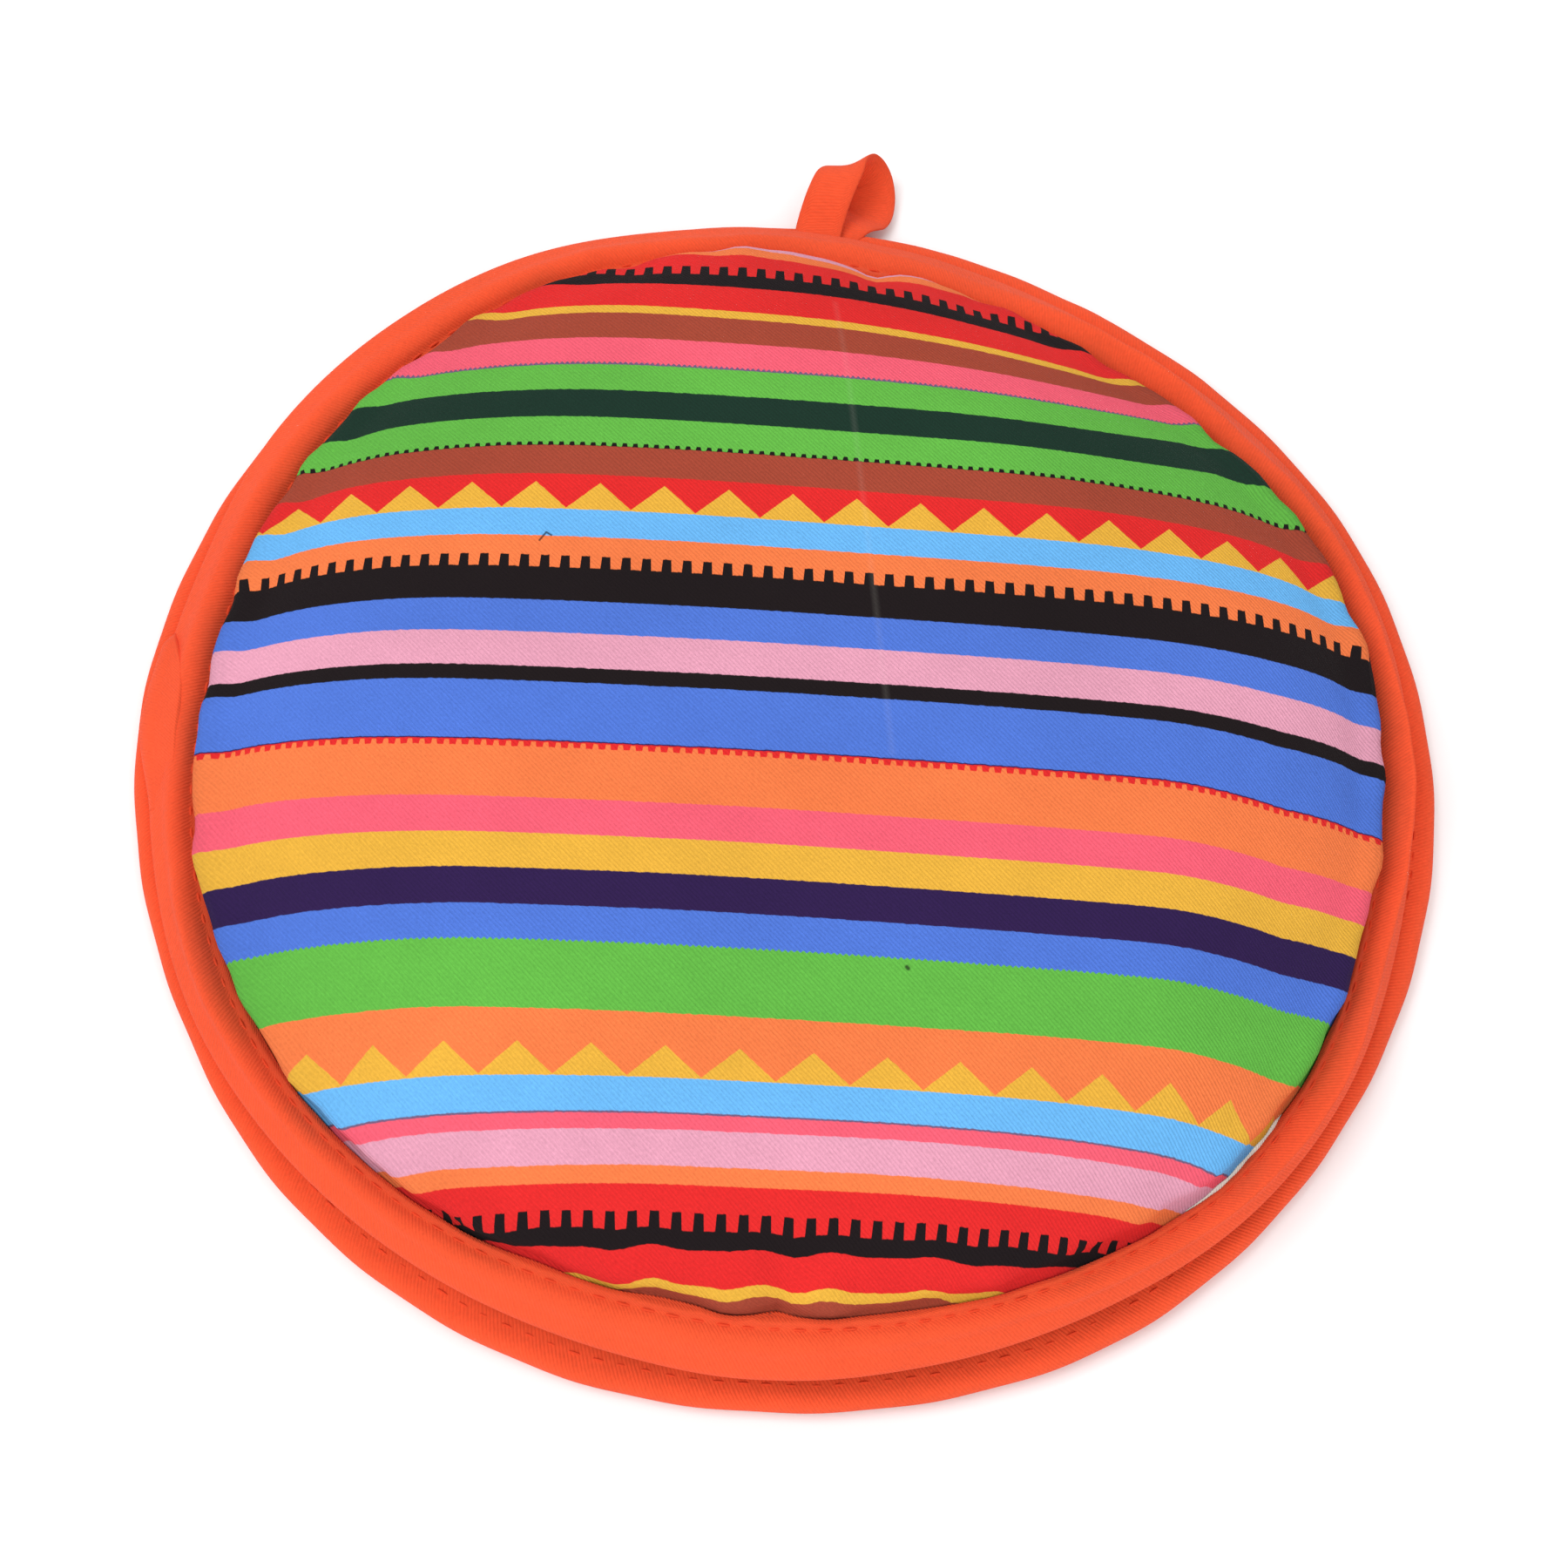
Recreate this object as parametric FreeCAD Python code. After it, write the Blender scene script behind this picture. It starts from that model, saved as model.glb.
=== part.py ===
"""Round padded cloth pouch that keeps a stack of flat breads warm.

Two quilted discs lie one on the other. Each has a cover, a wadding and a lining, and an edge bound
with folded tape. The rims are sewn together round the far side, and the near side stays open as the
mouth. The upper disc is puffed up over the space inside, and a loop of tape is caught between the rims.

Frame: millimetres, +Z up. The origin is the middle of the underside, and +Y points to the loop.
The flap is the mouth half of the upper disc. It lifts about a chord between the mouth's two corners.
"""
import FreeCAD
import Part

import math
import os

os.makedirs("parts", exist_ok=True)

# Cloth and tape
cover_cloth = 0.8
lining_cloth = 0.6
rim_wadding = 1.4
tape_cloth = 1.0
layer_gap = 0.1

# Lower disc
back_diameter = 304.8
back_tape_width = 15.0
back_foot_setback = 40.4
back_rim_rise = 1.4
back_wadding_loft = 8.6
back_crown_setback = 57.4
back_crown_share = 0.93
back_shoulder_setback = 26.4
back_shoulder_share = 0.78

# Upper disc
front_rim_setback = 4.4
front_tape_width = 15.1
front_rim_slope = 35.0
front_wadding_loft = 8.0
front_shoulder_loft = 5.8
crown_height = 43.0
crown_setback = 63.0
crown_drop = 3.1
shoulder_setback = 23.0
shoulder_drop = 15.5
rim_clearance = 0.3

# Mouth
mouth_arc = 160.0
lip_lift = 2.5
fold_gap = 0.6

# Hanging loop
loop_tape_width = 11.5
loop_tape_cloth = 1.2
loop_foot_cloth = 0.7
loop_foot_length = 12.0
loop_reach = 20.0
loop_near_eye = 7.2
loop_far_eye = 9.0
loop_lean = 15.0
loop_clearance = 0.3
loop_pinch = 0.3
loop_eye_setback = 3.9
loop_bend_steps = 8

# How far a cutting shape runs past what it cuts
cut_overrun = 1.0

# Flat facets round each ring, and chords along each rounded stretch of a section
rim_sides = 60
arc_steps = 2
edge_steps = 4

# Heights and radii that follow from the sizes above
front_diameter = back_diameter - 2 * front_rim_setback
core = cover_cloth + rim_wadding + lining_cloth + 2 * layer_gap
rim_half = core / 2 + layer_gap + tape_cloth
back_nose = (back_diameter / 2 - rim_half, back_rim_rise + rim_half)
back_top = back_nose[1] + rim_half
front_nose = (front_diameter / 2 - rim_half, back_top + rim_clearance + rim_half)
back_foot_radius = back_diameter / 2 - back_foot_setback
back_crown_radius = back_diameter / 2 - back_crown_setback
back_shoulder_radius = back_diameter / 2 - back_shoulder_setback
crown_radius = front_diameter / 2 - crown_setback
shoulder_radius = front_diameter / 2 - shoulder_setback
fold_y = -front_diameter / 2 * math.cos(math.radians(mouth_arc / 2))
loop_foot_half = loop_foot_cloth + layer_gap / 2
loop_foot_height = back_top + layer_gap + loop_foot_half
loop_root = back_diameter / 2 + loop_clearance


def shifted(point, direction, distance):
    """Point moved along a direction in the section plane."""
    return (point[0] + direction[0] * distance, point[1] + direction[1] * distance)


def left_of(direction):
    """Direction turned a quarter turn anticlockwise: out of a face that runs outward."""
    return (-direction[1], direction[0])


def slope_direction(degrees):
    """Outward direction that falls by a slope."""
    angle = math.radians(degrees)
    return (math.cos(angle), -math.sin(angle))


def round_points(start, direction, end, steps):
    """Points after start on the arc that leaves it along direction and reaches end.

    Also gives the arc's direction at end.
    """
    chord = (end[0] - start[0], end[1] - start[1])
    length = math.hypot(*chord)
    heading = math.atan2(direction[1], direction[0])
    half_turn = math.atan2(chord[1], chord[0]) - heading
    points = []
    for step in range(1, steps):
        swept = half_turn * step / steps
        reach = length * math.sin(swept) / math.sin(half_turn) if half_turn else length * step / steps
        points.append(shifted(start, (math.cos(heading + swept), math.sin(heading + swept)), reach))
    leaving = heading + 2 * half_turn
    return points + [end], (math.cos(leaving), math.sin(leaving))


def turned(outline):
    """Many-sided solid of revolution of a closed outline, with flat facets round the axis."""
    spokes = [(math.cos(2 * math.pi * side / rim_sides), math.sin(2 * math.pi * side / rim_sides))
              for side in range(rim_sides)]
    faces = []
    for (radius, height), (next_radius, next_height) in zip(outline, outline[1:] + outline[:1]):
        for spoke, next_spoke in zip(spokes, spokes[1:] + spokes[:1]):
            corners = [FreeCAD.Vector(radius * x, radius * y, height) for x, y in (spoke, next_spoke)]
            corners += [FreeCAD.Vector(next_radius * x, next_radius * y, next_height)
                        for x, y in (next_spoke, spoke)]
            if radius == 0:
                corners = corners[1:]
            elif next_radius == 0:
                corners = corners[:3]
            if max(radius, next_radius) > 0:
                faces.append(Part.Face(Part.makePolygon(corners + corners[:1])))
    shell = Part.Shell(faces)
    shell.sewShape()
    solid = Part.Solid(shell)
    if solid.Volume < 0:
        solid.reverse()
    return solid


def disc_face(points):
    """Points along a disc's face: level at the middle, smooth arcs to the rim, then the straight rim.

    The last two given points are the ends of the rim.
    """
    direction = (1.0, 0.0)
    outline = [points[0]]
    for start, end in zip(points[:-2], points[1:-1]):
        stretch, direction = round_points(start, direction, end, arc_steps)
        outline += stretch
    return outline + [points[-1]]


def face_directions(points, rim_direction):
    """Direction of a disc's face at each of its points."""
    direction = (1.0, 0.0)
    directions = [direction]
    for start, end in zip(points[:-3], points[1:-2]):
        direction = round_points(start, direction, end, 1)[1]
        directions.append(direction)
    return directions + [rim_direction, rim_direction]


def below(points, directions, depths):
    """Points of the face that lies under another, at a depth of its own below each point."""
    return [shifted(point, left_of(direction), -depth)
            for point, direction, depth in zip(points, directions, depths)]


def on_axis(points):
    """The same points with the first one set exactly on the axis."""
    return [(0.0, points[0][1])] + points[1:]


def layer(upper, lower):
    """Solid of revolution between two faces of a disc."""
    return turned(disc_face(upper) + disc_face(lower)[::-1])


def quilt(face, rim_direction, cover_depth, wadding_depths, lining_depth):
    """Three layers under a face, from the top down: outer cloth, wadding and inner cloth."""
    directions = face_directions(face, rim_direction)
    count = len(face)

    def at(depths):
        return on_axis(below(face, directions, depths))

    wadding_top = [cover_depth + layer_gap] * count
    wadding_base = [cover_depth + layer_gap + depth for depth in wadding_depths]
    lining_top = [depth + layer_gap for depth in wadding_base]
    lining_base = [depth + lining_depth for depth in lining_top]
    return (layer(face, at([cover_depth] * count)),
            layer(at(wadding_top), at(wadding_base)),
            layer(at(lining_top), at(lining_base)))


def binding(nose, rim_direction, width):
    """Ring of folded tape round a rim: two legs with rounded free edges and a rounded nose."""
    up = left_of(rim_direction)
    reach = width - rim_half - tape_cloth / 2
    inner = core / 2 + layer_gap

    def around(along, across, radius, side):
        """Half circle of the tape's edge, clockwise from above it if side is 1 and from below if -1."""
        middle = shifted(shifted(nose, rim_direction, along), up, across)
        outline = []
        for step in range(edge_steps + 1):
            angle = math.radians(90 * side - 180 * step / edge_steps)
            spoke = shifted(middle, rim_direction, radius * math.cos(angle))
            outline.append(shifted(spoke, up, radius * math.sin(angle)))
        return outline

    leg_middle = (rim_half + inner) / 2
    core_end = [shifted(shifted(nose, rim_direction, layer_gap), up, side * inner) for side in (-1, 1)]
    return turned(around(0, 0, rim_half, 1)
                  + around(-reach, -leg_middle, tape_cloth / 2, -1)
                  + core_end
                  + around(-reach, leg_middle, tape_cloth / 2, -1))


def back_disc():
    """Lower disc: flat underside, rim raised a little, low crown inside."""
    level = (1.0, 0.0)
    rim_start = back_nose[0] - back_tape_width + rim_half + tape_cloth / 2
    core_base = back_nose[1] - core / 2
    middle_height = cover_cloth + back_wadding_loft + lining_cloth + 2 * layer_gap
    crown = [(0.0, middle_height), (back_crown_radius, back_crown_share * middle_height),
             (back_shoulder_radius, back_shoulder_share * middle_height),
             (rim_start, back_nose[1] + core / 2), (back_nose[0], back_nose[1] + core / 2)]
    foot = [(0.0, 0.0), (back_foot_radius, 0.0), (rim_start, core_base), (back_nose[0], core_base)]
    foot_directions = face_directions(foot, level)
    crown_directions = face_directions(crown, level)

    def above_foot(height):
        return on_axis(below(foot, foot_directions, [-height] * len(foot)))

    def under_crown(depth):
        return on_axis(below(crown, crown_directions, [depth] * len(crown)))

    return {
        "back_cover": layer(above_foot(cover_cloth), foot),
        "back_wadding": layer(under_crown(lining_cloth + layer_gap), above_foot(cover_cloth + layer_gap)),
        "back_lining": layer(crown, under_crown(lining_cloth)),
        "back_binding": binding(back_nose, level, back_tape_width),
    }


def front_disc():
    """Upper disc: broad crown, drawn-in sides and a rim that slopes down to the lower rim."""
    slope = slope_direction(front_rim_slope)
    core_top = shifted(front_nose, left_of(slope), core / 2)
    rim_reach = front_tape_width - rim_half - tape_cloth / 2
    face = [(0.0, crown_height), (crown_radius, crown_height - crown_drop),
            (shoulder_radius, crown_height - shoulder_drop),
            shifted(core_top, slope, -rim_reach), core_top]
    lofts = [front_wadding_loft, front_wadding_loft, front_shoulder_loft, rim_wadding, rim_wadding]
    cover, wadding, lining = quilt(face, slope, cover_cloth, lofts, lining_cloth)
    return {
        "front_cover": cover,
        "front_wadding": wadding,
        "front_lining": lining,
        "front_binding": binding(front_nose, slope, front_tape_width),
    }


def half_space(behind_fold):
    """Block that holds everything on one side of the fold, clear of it by half the fold's gap."""
    size = 2 * back_diameter
    start = fold_y + fold_gap / 2 if behind_fold else fold_y - fold_gap / 2 - size
    return Part.makeBox(size, size, size, FreeCAD.Vector(-size / 2, start, -size / 2))


def lifted(shape):
    """Copy of a shape of the upper disc with the mouth lip lifted about the fold."""
    copy = shape.copy()
    copy.rotate(FreeCAD.Vector(0, fold_y, crown_height), FreeCAD.Vector(-1, 0, 0), lip_lift)
    return copy


def leaning(shape):
    """Shape of the loop turned about its root to the loop's lean."""
    shape.rotate(FreeCAD.Vector(0, loop_root, 0), FreeCAD.Vector(0, 0, 1), -loop_lean)
    return shape


def loop_foot():
    """Two tape ends laid flat on each other, caught between the rims."""
    ends = []
    for side in (0, 1):
        base = loop_foot_height - loop_foot_half + side * (loop_foot_cloth + layer_gap)
        corner = FreeCAD.Vector(-loop_tape_width / 2, loop_root - loop_foot_length, base)
        ends.append(Part.makeBox(loop_tape_width, loop_foot_length, loop_foot_cloth, corner))
    return Part.makeCompound(ends)


def foot_pocket():
    """Space that the loop's foot presses into the upper rim."""
    corner = FreeCAD.Vector(-loop_tape_width / 2 - layer_gap, loop_root - loop_foot_length - layer_gap,
                            back_top + layer_gap / 2)
    return Part.makeBox(loop_tape_width + 2 * layer_gap, loop_foot_length + 2 * layer_gap,
                        2 * loop_foot_half + layer_gap, corner)


def loop_outline(x, eye, inset, root_y, root_gap):
    """Teardrop outline of the loop at one edge of its tape, seen along X.

    An inset of zero gives the outside of the tape, and the tape's thickness gives the eye. The outline
    starts root_gap wide at root_y.
    """
    bend = eye / 2 + loop_tape_cloth - inset
    bend_middle = loop_root + loop_reach - eye / 2 - loop_tape_cloth
    corners = [FreeCAD.Vector(x, root_y, loop_foot_height - root_gap / 2)]
    for step in range(loop_bend_steps + 1):
        angle = math.radians(180 * step / loop_bend_steps - 90)
        corners.append(FreeCAD.Vector(x, bend_middle + bend * math.cos(angle),
                                      loop_foot_height + bend * math.sin(angle)))
    corners.append(FreeCAD.Vector(x, root_y, loop_foot_height + root_gap / 2))
    return Part.makePolygon(corners + corners[:1])


def hanging_loop():
    """Loop of tape that opens wider at its right edge, as a folded tape does when it twists."""
    left = -loop_tape_width / 2
    right = loop_tape_width / 2
    start = loop_root + loop_clearance
    outside = Part.makeLoft([loop_outline(left, loop_near_eye, 0, start, loop_pinch),
                             loop_outline(right, loop_far_eye, 0, start, loop_pinch)], True, True)
    eye_start = loop_root + loop_eye_setback
    growth = (loop_far_eye - loop_near_eye) * cut_overrun / loop_tape_width
    eye = Part.makeLoft([loop_outline(left - cut_overrun, loop_near_eye - growth, loop_tape_cloth,
                                      eye_start, layer_gap),
                         loop_outline(right + cut_overrun, loop_far_eye + growth, loop_tape_cloth,
                                      eye_start, layer_gap)], True, True)
    return outside.cut(eye)


def build():
    """All nodes by name."""
    nodes = back_disc()
    foot = leaning(loop_foot())
    pocket = leaning(foot_pocket())
    rear_half = half_space(True)
    mouth_half = half_space(False)
    for name, shape in front_disc().items():
        nodes[name + "_rear"] = shape.common(rear_half).cut(pocket)
        nodes[name + "_flap"] = lifted(shape).common(mouth_half)
    nodes["loop_foot"] = foot
    nodes["hanging_loop"] = leaning(hanging_loop())
    return nodes


for node_name, node_shape in build().items():
    node_shape.exportStep("parts/" + node_name + ".step")
    print(node_name, len(node_shape.Solids), "solids,", round(node_shape.Volume / 1000, 2), "cm3")
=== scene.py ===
"""Dressed model of a round padded cloth pouch for a stack of flat breads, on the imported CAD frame.

The pouch is two quilted discs bound with folded tape and sewn rim to rim, with a hanging loop
caught between them. Every surface is worked out with numpy from a few named sizes in millimetres,
in the frame's own axes: the middle of the underside is the origin and +Y points to the loop. The
print follows the flat-cut cloth, so its stripes stay with the fabric when the mouth opens.
"""

import logging
import math
from dataclasses import dataclass
from enum import Enum

import bpy
import numpy as np
from mathutils import Matrix


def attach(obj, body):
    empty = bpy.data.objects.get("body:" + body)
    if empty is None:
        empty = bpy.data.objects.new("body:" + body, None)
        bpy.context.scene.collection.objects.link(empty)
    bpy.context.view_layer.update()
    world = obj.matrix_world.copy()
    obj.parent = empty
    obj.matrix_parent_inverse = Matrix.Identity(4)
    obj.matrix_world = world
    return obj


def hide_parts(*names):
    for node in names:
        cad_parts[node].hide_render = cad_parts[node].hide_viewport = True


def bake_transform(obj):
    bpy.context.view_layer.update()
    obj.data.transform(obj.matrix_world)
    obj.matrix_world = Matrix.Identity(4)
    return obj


log = logging.getLogger("pouch")
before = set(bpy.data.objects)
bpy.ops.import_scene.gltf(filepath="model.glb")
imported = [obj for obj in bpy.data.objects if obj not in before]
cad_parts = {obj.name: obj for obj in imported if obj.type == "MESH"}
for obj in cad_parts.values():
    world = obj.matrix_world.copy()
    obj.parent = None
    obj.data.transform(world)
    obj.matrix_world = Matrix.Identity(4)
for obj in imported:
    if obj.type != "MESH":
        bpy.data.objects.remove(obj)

MM = 0.001                 # metres in a millimetre
STRIPE_TURN = 1.2          # degrees from the frame's X axis to the stripes
INK_SHARE = 0.80           # brightness of the cloths' own colours under the studio light
PRINT_EDGE = 5.0           # cover gained in each millimetre across a printed edge
TABLE_STEPS = 720          # samples round the disc of each table by azimuth
TINY = 1e-9                # keeps a division off zero and a lookup off its end


def ease(value: np.ndarray) -> np.ndarray:
    """Smooth step: 3t^2 - 2t^3 of the value held between 0 and 1."""
    held = np.clip(value, 0.0, 1.0)
    return held * held * (3.0 - 2.0 * held)


def bell(distance: np.ndarray, width: float) -> np.ndarray:
    """Bell curve: e to the power of minus the squared distance over the squared width."""
    return np.exp(-(distance / width) ** 2)


def turn_apart(angle: np.ndarray, middle: float) -> np.ndarray:
    """Signed degrees from a middle direction to each angle in radians, wrapped to half a turn."""
    return (np.degrees(angle) - middle + 180.0) % 360.0 - 180.0


def full_turn(count: int, start: float = 0.0) -> np.ndarray:
    """Even azimuths round a full turn, in radians, the first at a share of a step."""
    return (np.arange(count) + start) * 2 * np.pi / count


def ripples(azimuth: np.ndarray, waves: tuple, base: float = 0.0) -> np.ndarray:
    """Sum of sine waves round the rim, on a base.

    Args:
        azimuth: Direction from the middle, in radians.
        waves: Height, number of waves in a full turn, and start in radians of each.
        base: Value that the waves are added to.

    Returns:
        The sum at each azimuth.
    """
    return sum((height * np.sin(count * azimuth + start) for height, count, start in waves), base)


def smooth_path(knots: np.ndarray, count: int, closed: bool = False) -> np.ndarray:
    """Curve through knots: each piece is the cubic that Catmull and Rom's rule gives.

    Args:
        knots: Points the curve passes through, one a row.
        count: Number of points wanted along the curve.
        closed: Whether the last knot runs on to the first.

    Returns:
        Points along the curve, evenly spaced in the knots' own numbering.
    """
    total = len(knots)
    if closed:
        padded = np.vstack([knots[-1:], knots, knots[:2]])
        place = np.arange(count) * total / count
    else:
        padded = np.vstack([2 * knots[0] - knots[1], knots, 2 * knots[-1] - knots[-2]])
        place = np.linspace(0, total - 1 - TINY, count)
    first = place.astype(int)
    t = (place - first)[:, None]
    before, here, after, beyond = (padded[first + step] for step in range(4))
    return 0.5 * (2 * here + (after - before) * t
                  + (2 * before - 5 * here + 4 * after - beyond) * t ** 2
                  + (3 * here - before - 3 * after + beyond) * t ** 3)


def around(values: tuple, azimuth: np.ndarray) -> np.ndarray:
    """Smooth value at each azimuth, from values given at even steps round the disc.

    Args:
        values: Values at even steps, the first at +X, growing anticlockwise.
        azimuth: Direction from the middle, in radians.

    Returns:
        The value at each azimuth.
    """
    table = smooth_path(np.array(values, float)[:, None], TABLE_STEPS, closed=True)[:, 0]
    degrees = np.arange(TABLE_STEPS) * 360.0 / TABLE_STEPS
    return np.interp(np.degrees(azimuth) % 360.0, degrees, table, period=360.0)


class MeshKit:
    """Puts arrays of points in millimetres into Blender meshes."""

    @staticmethod
    def add(name: str, points: np.ndarray, faces: np.ndarray, corner_uvs: np.ndarray,
            triangles: np.ndarray | None = None) -> bpy.types.Object:
        """Adds one piece from its points and faces.

        Args:
            name: Name of the new object.
            points: Corner points in millimetres, one a row.
            faces: Four point numbers a row, anticlockwise seen from outside.
            corner_uvs: Flat-cloth place in metres of each corner of each face, then of each
                triangle.
            triangles: Three point numbers a row, or None.

        Returns:
            The new object, smooth shaded, at the origin.
        """
        mesh = bpy.data.meshes.new(name)
        threes = np.zeros((0, 3), int) if triangles is None else triangles
        loops = np.concatenate([faces.reshape(-1), threes.reshape(-1)])
        starts = np.concatenate([np.arange(len(faces)) * 4,
                                 len(faces) * 4 + np.arange(len(threes)) * 3])
        mesh.vertices.add(len(points))
        mesh.vertices.foreach_set("co", (points * MM).astype(np.float32).ravel())
        mesh.loops.add(len(loops))
        mesh.loops.foreach_set("vertex_index", loops.astype(np.int32))
        mesh.polygons.add(len(starts))
        mesh.polygons.foreach_set("loop_start", starts.astype(np.int32))
        mesh.polygons.foreach_set("use_smooth", np.ones(len(starts), bool))
        layer = mesh.uv_layers.new(name="flat_cloth")
        layer.data.foreach_set("uv", corner_uvs.astype(np.float32).ravel())
        mesh.update(calc_edges=True)
        mesh.validate()
        piece = bpy.data.objects.new(name, mesh)
        bpy.context.scene.collection.objects.link(piece)
        return piece

    @staticmethod
    def disc(name: str, top: np.ndarray, base: np.ndarray, flat: np.ndarray) -> bpy.types.Object:
        """Closed disc between two faces, each a fan at the middle and rings outside it.

        Args:
            name: Name of the new object.
            top: Upper face, rings by sectors by 3, the first ring shrunk to the middle point.
            base: Lower face of the same size.
            flat: Flat-cloth place in metres of each point, rings by sectors by 2.

        Returns:
            The new object.
        """
        rings, sectors = top.shape[:2]
        ring = np.arange(rings - 1)[:, None]
        sector = np.arange(sectors)[None, :]
        after = (sector + 1) % sectors
        count = 1 + (rings - 1) * sectors

        def place(row: object, column: np.ndarray) -> np.ndarray:
            """Number of the point at a ring and a sector, the first full ring being 0."""
            return 1 + row * sectors + column

        rows = ring[:-1]
        upper = np.stack([place(rows, sector), place(rows + 1, sector),
                          place(rows + 1, after), place(rows, after)], -1).reshape(-1, 4)
        lower = upper[:, ::-1] + count
        last = rings - 2
        edge = np.stack([place(last, sector), place(last, sector) + count,
                         place(last, after) + count, place(last, after)], -1).reshape(-1, 4)
        fan = np.stack([0 * sector, place(0, sector), place(0, after)], -1).reshape(-1, 3)
        quads = np.vstack([upper, lower, edge])
        threes = np.vstack([fan, fan[:, ::-1] + count])
        points = np.vstack([part for face in (top, base)
                            for part in (face[:1, 0], face[1:].reshape(-1, 3))])
        cloth = np.tile(np.vstack([flat[:1, 0], flat[1:].reshape(-1, 2)]), (2, 1))
        corners = np.concatenate([cloth[quads].reshape(-1, 2), cloth[threes].reshape(-1, 2)])
        return MeshKit.add(name, points, quads, corners, threes)

    @staticmethod
    def tube(name: str, points: np.ndarray, lengths: tuple[float, float],
             closed: bool = True) -> bpy.types.Object:
        """Tube of one section carried along a path, closed round the section and at its ends.

        Args:
            name: Name of the new object.
            points: Path by section by 3. The section runs anticlockwise seen against the path.
            lengths: Length along the path and round the section, in metres, for the flat cloth.
            closed: Whether the path's end meets its start. An open path gets flat end caps.

        Returns:
            The new object.
        """
        steps, sides = points.shape[:2]
        runs = steps if closed else steps - 1
        row = np.arange(runs)[:, None]
        column = np.arange(sides)[None, :]
        next_row = (row + 1) % steps
        next_column = (column + 1) % sides
        quads = np.stack([row * sides + column, row * sides + next_column,
                          next_row * sides + next_column, next_row * sides + column], -1)

        def cloth(rows: np.ndarray, columns: np.ndarray) -> np.ndarray:
            """Flat-cloth place of the tube's corners, in metres."""
            rows, columns = np.broadcast_arrays(rows, columns)
            return np.stack([rows / runs * lengths[0], columns / sides * lengths[1]], -1)

        corners = np.stack([cloth(row, column), cloth(row, column + 1),
                            cloth(row + 1, column + 1), cloth(row + 1, column)], 2).reshape(-1, 2)
        quads = quads.reshape(-1, 4)
        flat_points = points.reshape(-1, 3)
        if closed:
            return MeshKit.add(name, flat_points, quads, corners)
        middles = np.stack([points[0].mean(0), points[-1].mean(0)])
        start = len(flat_points)
        here = np.arange(sides)
        there = (here + 1) % sides
        base = (steps - 1) * sides
        threes = np.vstack([np.stack([np.full(sides, start), there, here], -1),
                            np.stack([np.full(sides, start + 1), base + here, base + there], -1)])
        cap = np.zeros((len(threes) * 3, 2))
        return MeshKit.add(name, np.vstack([flat_points, middles]), quads,
                           np.vstack([corners, cap]), threes)

    @staticmethod
    def set_painted_crease_shade(piece: bpy.types.Object, values: np.ndarray) -> None:
        """Stores at each point its depth in the crease beside the tape, as painted shade, from 0 to
        1.
        """
        layer = piece.data.attributes.new("crease_depth_and_painted_shade", "FLOAT", "POINT")
        layer.data.foreach_set("value", np.clip(values, 0.0, 1.0).astype(np.float32).ravel())

    @staticmethod
    def rods(name: str, points: np.ndarray) -> bpy.types.Object:
        """Many short closed rods as one piece.

        Args:
            name: Name of the new object.
            points: Rods by stations by sides by 3.

        Returns:
            The new object.
        """
        count, steps, sides = points.shape[:3]
        rod = np.arange(count)[:, None, None] * steps * sides
        row = np.arange(steps - 1)[None, :, None] * sides
        column = np.arange(sides)[None, None, :]
        after = (column + 1) % sides
        quads = np.stack([rod + row + column, rod + row + after, rod + row + sides + after,
                          rod + row + sides + column], -1).reshape(-1, 4)
        here = np.arange(1, sides - 1)[None, :]
        first = np.arange(count)[:, None] * steps * sides
        last = first + (steps - 1) * sides
        threes = np.vstack([
            np.stack([first + 0 * here, first + here + 1, first + here], -1).reshape(-1, 3),
            np.stack([last + 0 * here, last + here, last + here + 1], -1).reshape(-1, 3)])
        corners = np.zeros((quads.size + threes.size, 2))
        return MeshKit.add(name, points.reshape(-1, 3), quads, corners, threes)


class Tint(Enum):
    """Colours of the print, the tape and the plain cloths, as eight-bit screen values."""

    RED = (236, 44, 44)
    BLACK = (30, 22, 24)
    YELLOW = (242, 184, 66)
    BROWN = (172, 74, 54)
    PINK = (255, 100, 122)
    GREEN = (104, 190, 74)
    DARK_GREEN = (26, 54, 42)
    SKY = (112, 190, 252)
    ORANGE = (255, 130, 74)
    BLUE = (84, 124, 222)
    ROSE = (238, 166, 190)
    NAVY = (50, 30, 80)
    SMOKE = (120, 96, 130)
    TAPE = (255, 91, 51)
    THREAD = (240, 80, 46)
    CALICO = (232, 226, 214)
    WADDING = (240, 240, 238)

    def linear(self, share: float = 1.0) -> tuple[float, float, float, float]:
        """Scene-linear value of the screen colour, times a share, with full alpha.

        Args:
            share: Brightness of the result against the colour itself.

        Returns:
            Red, green, blue and alpha.
        """
        channels = [((value / 255 + 0.055) / 1.055) ** 2.4 if value > 10 else value / 255 / 12.92
                    for value in self.value]
        return (*(share * channel for channel in channels), 1.0)


class Edge(Enum):
    """How a stripe's upper edge runs."""

    STRAIGHT = "straight"
    TEETH = "teeth"
    TRIANGLES = "triangles"


@dataclass(frozen=True)
class Stripe:
    """One stripe of the print, from its upper edge down to the next stripe.

    Its top, and its teeth or triangles' height, pitch and first place across, are in flat-cloth
    millimetres. The share is the part of each pitch that a tooth takes.
    """

    top: float
    tint: Tint
    edge: Edge = Edge.STRAIGHT
    height: float = 0.0
    pitch: float = 10.0
    start: float = 0.0
    share: float = 0.5


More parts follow.
